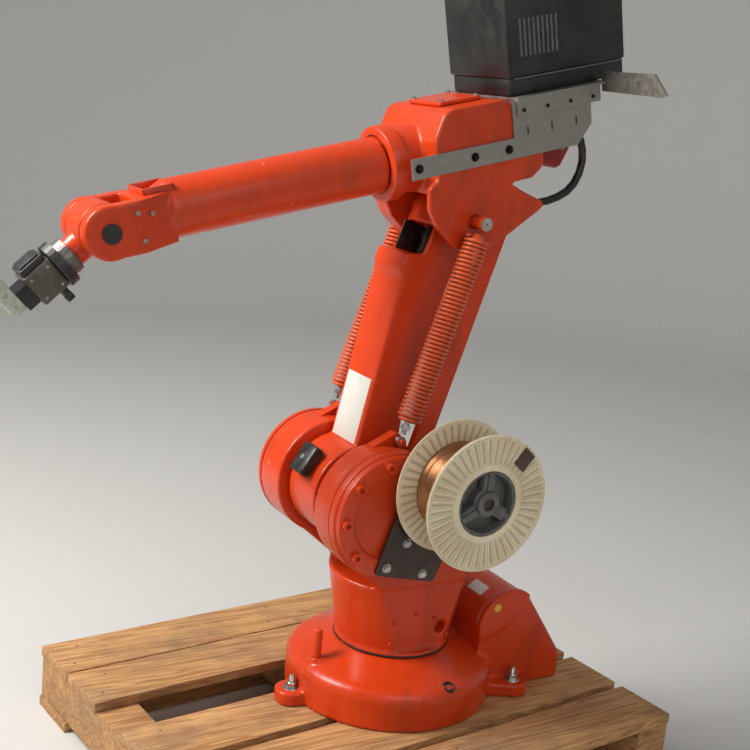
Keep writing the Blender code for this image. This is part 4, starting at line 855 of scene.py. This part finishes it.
sand_cast("lower_arm_casting", "lower_arm", skin=LOWER_ARM_SKIN)
stop_rubber = marked_finish("stop rubber", (0.012, 0.012, 0.012), (0.06, 0.055, 0.05),
                            (60, 4), (0.5, 0.8), (0.36, 0.7), (500, 2, 0.2, 0.2))
piece("stop_block", blocks(STOP_SEAT, STOP), stop_rubber, "black_rubber", "lower_arm",
      "hub_buffer")
stop_screw = bmesh.new()
socket_screw(stop_screw, STOP_SEAT @ STOP_SCREW, STOP_SEAT.to_3x3() @ Vector((1, 0, 0)),
             *STOP_HEAD)
piece("stop_screw", stop_screw, bright_steel, "bare_steel", "lower_arm")
# Painted shade: thin black sheets on the back and both sides of the pocket stand for the shade
# inside it.
pocket_sheet = blocks(LOWER_ARM, POCKET_SHADE_BACK)
for side in (-1, 1):
    block(pocket_sheet, LOWER_ARM, POCKET_SHADE_SIDE, (0, side * POCKET_SHADE_SIDE_PLACE, 0))
piece("pocket_sheet", pocket_sheet, stop_rubber, "black_rubber", "lower_arm")
piece("arm_sticker", blocks(FRONT_SLOPE, STICKER), white_film, "cream_plastic", "lower_arm")

# The balancing springs: painted steel wire wound close, stretched between the third-axis pin and
# the turret; a plated hook and an eye bolt join the foot to its lug. Each spring is made in
# parts.
SPRING_TOP = LOWER_ARM @ Vector((0, 0, 600 * MM))
SPRING_FOOT = LOWER_ARM @ Vector((8 * MM, 0, 141 * MM))
SPRING_SIDE = 138 * MM
WIRE_RADIUS = 3.5 * MM
COIL_RADIUS = 22 * MM
COIL_PITCH = 8.5 * MM
COIL_STEPS = 22
COIL_PARTS = 3
PART_COILS = 15
HOOK_LENGTH = 46 * MM
HOOK_START = 15 * MM
HOOK_END = 47 * MM
HOOK_RADIUS = 5.5 * MM
HOOK_NUT = 10 * MM
NUT_RISE = 30 * MM
HOOK_THICK = 9 * MM
EYE_RADIUS = 10.5 * MM
LOW_CAP = {"depth": 10 * MM, "radius": 17 * MM, "top": 19 * MM}
HIGH_CAP = {"depth": 12 * MM, "radius": 17 * MM, "top": 9 * MM}
LOW_CAP_RISE = 1 * MM
HIGH_CAP_RISE = 2 * MM
spring_line = (SPRING_TOP - SPRING_FOOT).normalized()
spring_enamel = enamel("spring enamel", (0.7, 0.1, 0.025), 0.34, 0.8)


def stretch(part):
    """Takes a part of a spring off its body and bakes its place into its mesh."""
    part.parent = None
    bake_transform(part)


def coil_part(low):
    """A stretch of close coils from a height on the spring's own axis."""
    coil = bmesh.new()
    circle = bmesh.ops.create_circle(coil, segments=8, radius=WIRE_RADIUS,
                                     matrix=Matrix.Translation((COIL_RADIUS, 0, low))
                                     @ Matrix.Rotation(pi / 2, 4, "X"))["verts"]
    edges = list({edge for vert in circle for edge in vert.link_edges})
    bmesh.ops.spin(coil, geom=circle + edges, cent=(0, 0, 0), axis=(0, 0, 1),
                   dvec=(0, 0, COIL_PITCH / COIL_STEPS), angle=2 * pi * PART_COILS,
                   steps=COIL_STEPS * PART_COILS)
    bmesh.ops.holes_fill(coil, edges=[edge for edge in coil.edges if edge.is_boundary])
    return coil


for word, side in (("near", 1), ("far", -1)):
    foot = SPRING_FOOT + Vector((0, side * SPRING_SIDE, 0))
    seat = Matrix.Translation(foot) @ facing(spring_line)
    for number in range(COIL_PARTS):
        low = HOOK_LENGTH + number * PART_COILS * COIL_PITCH
        high = low + PART_COILS * COIL_PITCH
        coil = coil_part(low)
        if number == 0:
            drum(coil, Matrix.Translation((0, 0, low + LOW_CAP_RISE)), steps=16, **LOW_CAP)
        if number == COIL_PARTS - 1:
            drum(coil, Matrix.Translation((0, 0, high + HIGH_CAP_RISE)), steps=16, **HIGH_CAP)
        bmesh.ops.transform(coil, matrix=seat, verts=coil.verts)
        wound = piece(f"{word}_spring_wound_{number + 1}", coil, spring_enamel, "orange_paint",
                      "lower_arm", f"{word}_spring", sharp=60)
        stretch(wound)
    hook = bmesh.new()
    drum(hook, raised(seat, (HOOK_START + HOOK_END) / 2), HOOK_END - HOOK_START, HOOK_RADIUS,
         steps=14)
    drum(hook, raised(seat, NUT_RISE), HOOK_THICK, HOOK_NUT, steps=6)
    drum(hook, Matrix.Translation(foot) @ Matrix.Rotation(pi / 2, 4, "X"), HOOK_THICK, EYE_RADIUS)
    hooked = piece(f"{word}_spring_hook", hook, bright_steel, "bare_steel", "turret")
    stretch(hooked)

# The third-axis pin goes right through the arm and is painted with it. Its ends are turned
# bright, with a centre hole.
PIN_FACE = 150 * MM
PIN_END = [(0, -1.2), (3, 0.2), (9, 0.2), (11, 0.6), (13.2, 0.6), (13.2, -1.5), (0, -1.5)]

dress(orange_enamel, "axis_3_pin")
pin_ends = bmesh.new()
for side in (-1, 1):
    end = turned_piece(PIN_END, SPRING_TOP + Vector((0, side * PIN_FACE, 0)), (0, side, 0), 28)
    end_mesh = bpy.data.meshes.new("pin_end_shape")
    end.to_mesh(end_mesh)
    end.free()
    pin_ends.from_mesh(end_mesh)
piece("pin_ends", pin_ends, bright_steel, "bare_steel", "lower_arm")

# The parallel linkage: a forged crank and a flat bar, both painted, on bare turned pins. The
# upper pin ends in a round cap.
CAP_PLACE = UPPER_ARM @ Vector((-114 * MM, 0, 19 * MM)) + Vector((0, 61.4 * MM, 0))
CAP_OUTLINE = [(0, 0), (11, 0), (11, 1.4), (9, 2.6), (0, 2.6)]

turned_steel = plated_steel("turned steel", (0.5, 0.49, 0.47), 0.3)
dress(turned_steel, "crank_pin")
dress(orange_enamel, "crank_arm", "parallel_rod")
piece("rod_cap", turned_piece(CAP_OUTLINE, CAP_PLACE, (0, -1, 0), 24), turned_steel,
      "bare_steel", "upper_arm")

# The upper arm: a sand-cast housing on two ears, the turned collar ring of the fourth axis,
# a low cover on top and the red pressed cover of the drive behind.
HOUSING_SKIN = 3.0 * MM
COLLAR_OUTLINE = [(0, 0), (75, 0), (75, 24), (74, 27.5), (71.5, 29.5), (68, 30), (59, 30),
                  (58, 29), (57, 26), (0, 26)]
COLLAR_PLACE = UPPER_ARM @ Vector((120 * MM, 0, 130 * MM))
COLLAR_STEPS = 80
COVER_SCREW_PLACES = ((18, 50), (18, -50), (-64, 50), (-64, -50))
COVER_TOP = 234.8
DRIVE_SCREW_PLACES = ((-196, 150), (-262, 152), (-196, 96), (-252, 100))
DRIVE_FACE = 73.6
HOUSING_HEAD = (5 * MM, 4 * MM)
arm_turn = UPPER_ARM.to_3x3()

sand_cast("upper_arm_housing", "upper_arm", skin=HOUSING_SKIN)
collar_ring = turned_piece(COLLAR_OUTLINE, COLLAR_PLACE, arm_turn @ Vector((1, 0, 0)),
                           COLLAR_STEPS)
piece("collar_turned", collar_ring, orange_enamel, "orange_paint", "upper_arm",
      "bearing_collar")
dress(orange_enamel, "top_cover")
dress(enamel("red enamel", (0.28, 0.012, 0.01), 0.42, 0.5), "rear_drive_cover")
housing_screws = bmesh.new()
for x, y in COVER_SCREW_PLACES:
    socket_screw(housing_screws, arm_point(x, y, COVER_TOP), arm_turn @ Vector((0, 0, 1)),
                 *HOUSING_HEAD)
for x, z in DRIVE_SCREW_PLACES:
    socket_screw(housing_screws, arm_point(x, DRIVE_FACE, z), (0, 1, 0), *HOUSING_HEAD)
piece("housing_screws", housing_screws, turned_steel, "bare_steel", "upper_arm")

# The feeder carrier: galvanised sheet, folded and bolted. Its straps run along the housing and
# widen into plates under the tray, with black bolts, and small black marks on the plates that
# paint the shade in their slots.
STRAP_BOLTS = (121, -8, -90)
STRAP_HEIGHT = 128
STRAP_FACE = 115.3
STRAP_HEAD = (10 * MM, 5 * MM, 9 * MM)
TRAY_BOLTS = (-128, -186, -244, -302)
TRAY_HEIGHT = 200
TRAY_FACE = 120.6
TRAY_HEAD = (7 * MM, 3.5 * MM)
SLOT_SHADE_PLACES = (-140, -200, -262)
SLOT_SHADE_MARK = ((0, 115.2, 150), (3, 115.9, 166), 0.3)


def galvanised():
    """Galvanised sheet in greys painted darker as shade, with a faint spangle, dull white bloom
    and scratches.
    """
    # Painted shade: all the greys here are darker than bare zinc, for the shade the sheet lies
    # in.
    finish, tree, shader = plain_tree("galvanised sheet", (0.36, 0.355, 0.33), 0.45, 1)
    place = place_of(tree)
    spangle = grow(tree, "ShaderNodeTexVoronoi", {"Scale": 110.0, "Randomness": 1.0})
    tree.links.new(place, spangle.inputs["Vector"])
    crystals = grow(tree, "ShaderNodeSeparateColor")
    tree.links.new(spangle.outputs["Color"], crystals.inputs["Color"])
    tone = band(tree, crystals.outputs["Red"], 0, 1, 0, 0.5)
    colour = tint(tree, tone, (0.37, 0.36, 0.33), (0.31, 0.3, 0.27))
    bloom = band(tree, noise(tree, place, 14, 6, 0.7), 0.5, 0.8, 0, 0.4)
    colour = tint(tree, bloom, colour, (0.44, 0.42, 0.37))
    coat(tree, shader, colour, band(tree, crystals.outputs["Green"], 0, 1, 0.46, 0.62))
    scratch = place_of(tree, (10, 300, 300), (0, 0.3, 0.4))
    relief(tree, shader, noise(tree, scratch, 1.5, 2), 0.12, 0.2 * MM)
    return finish


dress(galvanised(), "near_feeder_strap", "far_feeder_strap", "feeder_tray")
carrier_bolts = bmesh.new()
for side in (-1, 1):
    for x in STRAP_BOLTS:
        hex_bolt(carrier_bolts, arm_point(x, side * STRAP_FACE, STRAP_HEIGHT), (0, side, 0),
                 *STRAP_HEAD)
    for x in TRAY_BOLTS:
        hex_bolt(carrier_bolts, arm_point(x, side * TRAY_FACE, TRAY_HEIGHT), (0, side, 0),
                 *TRAY_HEAD)
# Painted shade: small black marks on the plates stand for the dark inside of their slots.
for x in SLOT_SHADE_PLACES:
    block(carrier_bolts, UPPER_ARM, SLOT_SHADE_MARK, (x, 0, 0))
black_steel = plated_steel("black steel", (0.035, 0.035, 0.035), 0.35)
piece("carrier_bolts", carrier_bolts, black_steel, "black_metal", "upper_arm")

# The wire feeder: a plain black box of painted sheet with a moulded lower body, a lid, raised
# side panels, two catches and grey cooling slots. Three hose sockets stand out behind.
FEEDER_BARS = (((-404, -98, 225.9), (-112, 98, 262), 5),
               ((-404, -104, 261), (-108, 104, 440), 5),
               ((-403, -103.4, 438), (-109, 103.4, 481.6), 9))
PANEL = ((-396, -1.6, 268), (-116, 1.6, 432), 1.2)
PANEL_FACE = 104
CATCHES = (-330, -180)
CATCH = ((0, 103, 426), (34, 111, 452), 2.5)
SLOT = ((0, 105.1, 300), (5, 106.2, 372), 0.5)
SLOT_START = -232
SLOT_PITCH = 11
SLOT_COUNT = 9
SEAM = ((-392, 105.1, 258), (-120, 106, 261), 0.4)
SOCKETS = ((52, 330, 19), (52, 282, 14), (-10, 300, 14))
SOCKET_RINGS = ((-404, -412, 1.25), (-411, -426, 1), (-425, -431, 0.8))
SOCKET_TAPER = 0.96


def black_shell(name="black shell", rough=0.42):
    """Black textured paint with dust on it and grey rubs."""
    return marked_finish(name, (0.009, 0.01, 0.01), (0.032, 0.033, 0.028), (11, 6, 0.65),
                         (0.42, 0.78), (rough - 0.08, rough + 0.2), (380, 3, 0.25, 0.4))


black_paint = black_shell()
feeder = blocks(UPPER_ARM, *FEEDER_BARS)
for side in (-1, 1):
    block(feeder, UPPER_ARM, PANEL, (0, side * PANEL_FACE, 0))
for x in CATCHES:
    block(feeder, UPPER_ARM, CATCH, (x, 0, 0))
piece("feeder_shell", feeder, black_paint, "black_plastic", "upper_arm", "wire_feeder")
slots = bmesh.new()
for number in range(SLOT_COUNT):
    block(slots, UPPER_ARM, SLOT, (SLOT_START + SLOT_PITCH * number, 0, 0))
block(slots, UPPER_ARM, SEAM)
sockets = bmesh.new()
for y, z, radius in SOCKETS:
    for low, high, share in SOCKET_RINGS:
        seat = (UPPER_ARM @ Matrix.Translation(Vector(((low + high) / 2, y, z)) * MM)
                @ Matrix.Rotation(-pi / 2, 4, "Y"))
        wide = radius * share * MM
        drum(sockets, seat, (low - high) * MM, wide, wide * SOCKET_TAPER, steps=24)
piece("feeder_sockets", sockets, black_paint, "black_plastic", "upper_arm")
piece("feeder_slots", slots, grey_plastic("slot grey", (0.09, 0.1, 0.095)), "grey_plastic",
      "upper_arm")

# The forearm: a slim cast tube with a fork of two round cheeks, black caps on its pivot,
# small screws, and a frame round the shallow pocket on top.
FOREARM_SKIN = 3.0 * MM
FORK_BARS = (((583, -38, 160), (642, -34, 181), 1.5), ((583, 34, 160), (642, 38, 181), 1.5),
             ((583, -38, 160), (587, 38, 183), 1.5), ((638, -38, 160), (643, 38, 180), 1.5))
FOREARM_SCREWS = ((668, 71.8, 148), (640, 66.5, 142), (664, 71.5, 98))
FOREARM_HEAD = (4.5 * MM, 2.5 * MM)

sand_cast("forearm_casting", "forearm", skin=FOREARM_SKIN)
piece("fork_pocket", blocks(UPPER_ARM, *FORK_BARS), orange_enamel, "orange_paint", "forearm")
forearm_screws = bmesh.new()
for point in FOREARM_SCREWS:
    socket_screw(forearm_screws, arm_point(*point), (0, 1, 0), *FOREARM_HEAD)
piece("forearm_screws", forearm_screws, turned_steel, "bare_steel", "forearm")
cap_plastic = grey_plastic("cap plastic", (0.018, 0.018, 0.018))
dress(cap_plastic, "near_wrist_cap", "far_wrist_cap")

# The wrist and the tool: the cast tilt housing, the turning disc, a black adapter, the grey
# box of the collision sensor with its latch and elbow, and a pale bar for the torch.
FLANGE = (Matrix.Translation((765.3 * MM, 0, 1087.71 * MM))
          @ Matrix.Rotation(radians(43.24), 4, "Y"))
WRIST_SKIN = 1.8 * MM
SENSOR_BARS = (((18.6, -31, -31), (76.6, 31, 31), 4), ((22, 30.2, -27), (73, 31.8, 27), 0.8))
LATCH_BARS = (((22.6, -27, 31.3), (72.6, 27, 43), 2), ((28, -22, 42), (67, 22, 47.2), 1.5))
HOLDER_BAR = ((101.2, -25, -14), (129.2, 25, 96), 3)
ELBOW_PLACE = Vector((34, 8, -39)) * MM
ELBOW_RADIUS = 7.5 * MM
ELBOW_LONG = 20 * MM
ELBOW_BLOCK = ((26, 0, -60), (42, 16, -46), 3)
DISC_SCREWS = [(0.4, 38 * cos(radians(angle)), 38 * sin(radians(angle)))
               for angle in range(45, 360, 90)]
SENSOR_SCREWS = ((30, 31.6, 20), (30, 31.6, -20), (66, 31.6, 20), (66, 31.6, -20))
HOLDER_SCREWS = ((115, 24.8, 0), (115, 24.8, 28), (115, 24.8, 72))
DISC_HEAD = (3.6 * MM, 3 * MM)
SENSOR_HEAD = (2.6 * MM, 1.6 * MM)
HOLDER_HEAD = (4 * MM, 3 * MM)


def sensor_paint(name, colour):
    """Satin paint on a small machined box, rubbed pale at random and dusty."""
    return marked_finish(name, colour, scaled(colour, 1.6), (60, 6, 0.7), (0.5, 0.72),
                         (0.34, 0.6), (300, 2, 0.12, 0.2))


sand_cast("tilt_housing", "wrist", skin=WRIST_SKIN, passes=4)
dress(plated_steel("dull steel", (0.2, 0.19, 0.18), 0.4), "turning_disc")
dress(black_shell("adapter black", 0.36), "tool_adapter", "torch_plate")
piece("sensor_box", blocks(FLANGE, *SENSOR_BARS),
      sensor_paint("sensor grey", (0.075, 0.07, 0.052)), "grey_metal", "flange",
      "collision_sensor")
piece("latch_block", blocks(FLANGE, *LATCH_BARS), cap_plastic, "black_plastic", "flange",
      "sensor_latch")
piece("holder_bar", blocks(FLANGE, HOLDER_BAR), sensor_paint("pale green", (0.42, 0.47, 0.38)),
      "green_grey_metal", "flange", "torch_holder")
elbow = bmesh.new()
drum(elbow, FLANGE @ Matrix.Translation(ELBOW_PLACE), ELBOW_LONG, ELBOW_RADIUS, steps=20)
block(elbow, FLANGE, ELBOW_BLOCK)
piece("sensor_elbow", elbow, cap_plastic, "black_plastic", "flange")
tool_screws = bmesh.new()
for places, way, head in ((DISC_SCREWS, FLANGE.to_3x3() @ Vector((-1, 0, 0)), DISC_HEAD),
                          (SENSOR_SCREWS, (0, 1, 0), SENSOR_HEAD),
                          (HOLDER_SCREWS, (0, 1, 0), HOLDER_HEAD)):
    for spot in places:
        socket_screw(tool_screws, FLANGE @ (Vector(spot) * MM), way, *head)
piece("tool_screws", tool_screws, bright_steel, "bare_steel", "flange")

# The cable entry box behind the tail: a plain grey die-cast box.
dress(sensor_paint("die-cast grey", (0.26, 0.27, 0.27)), "cable_entry_box")
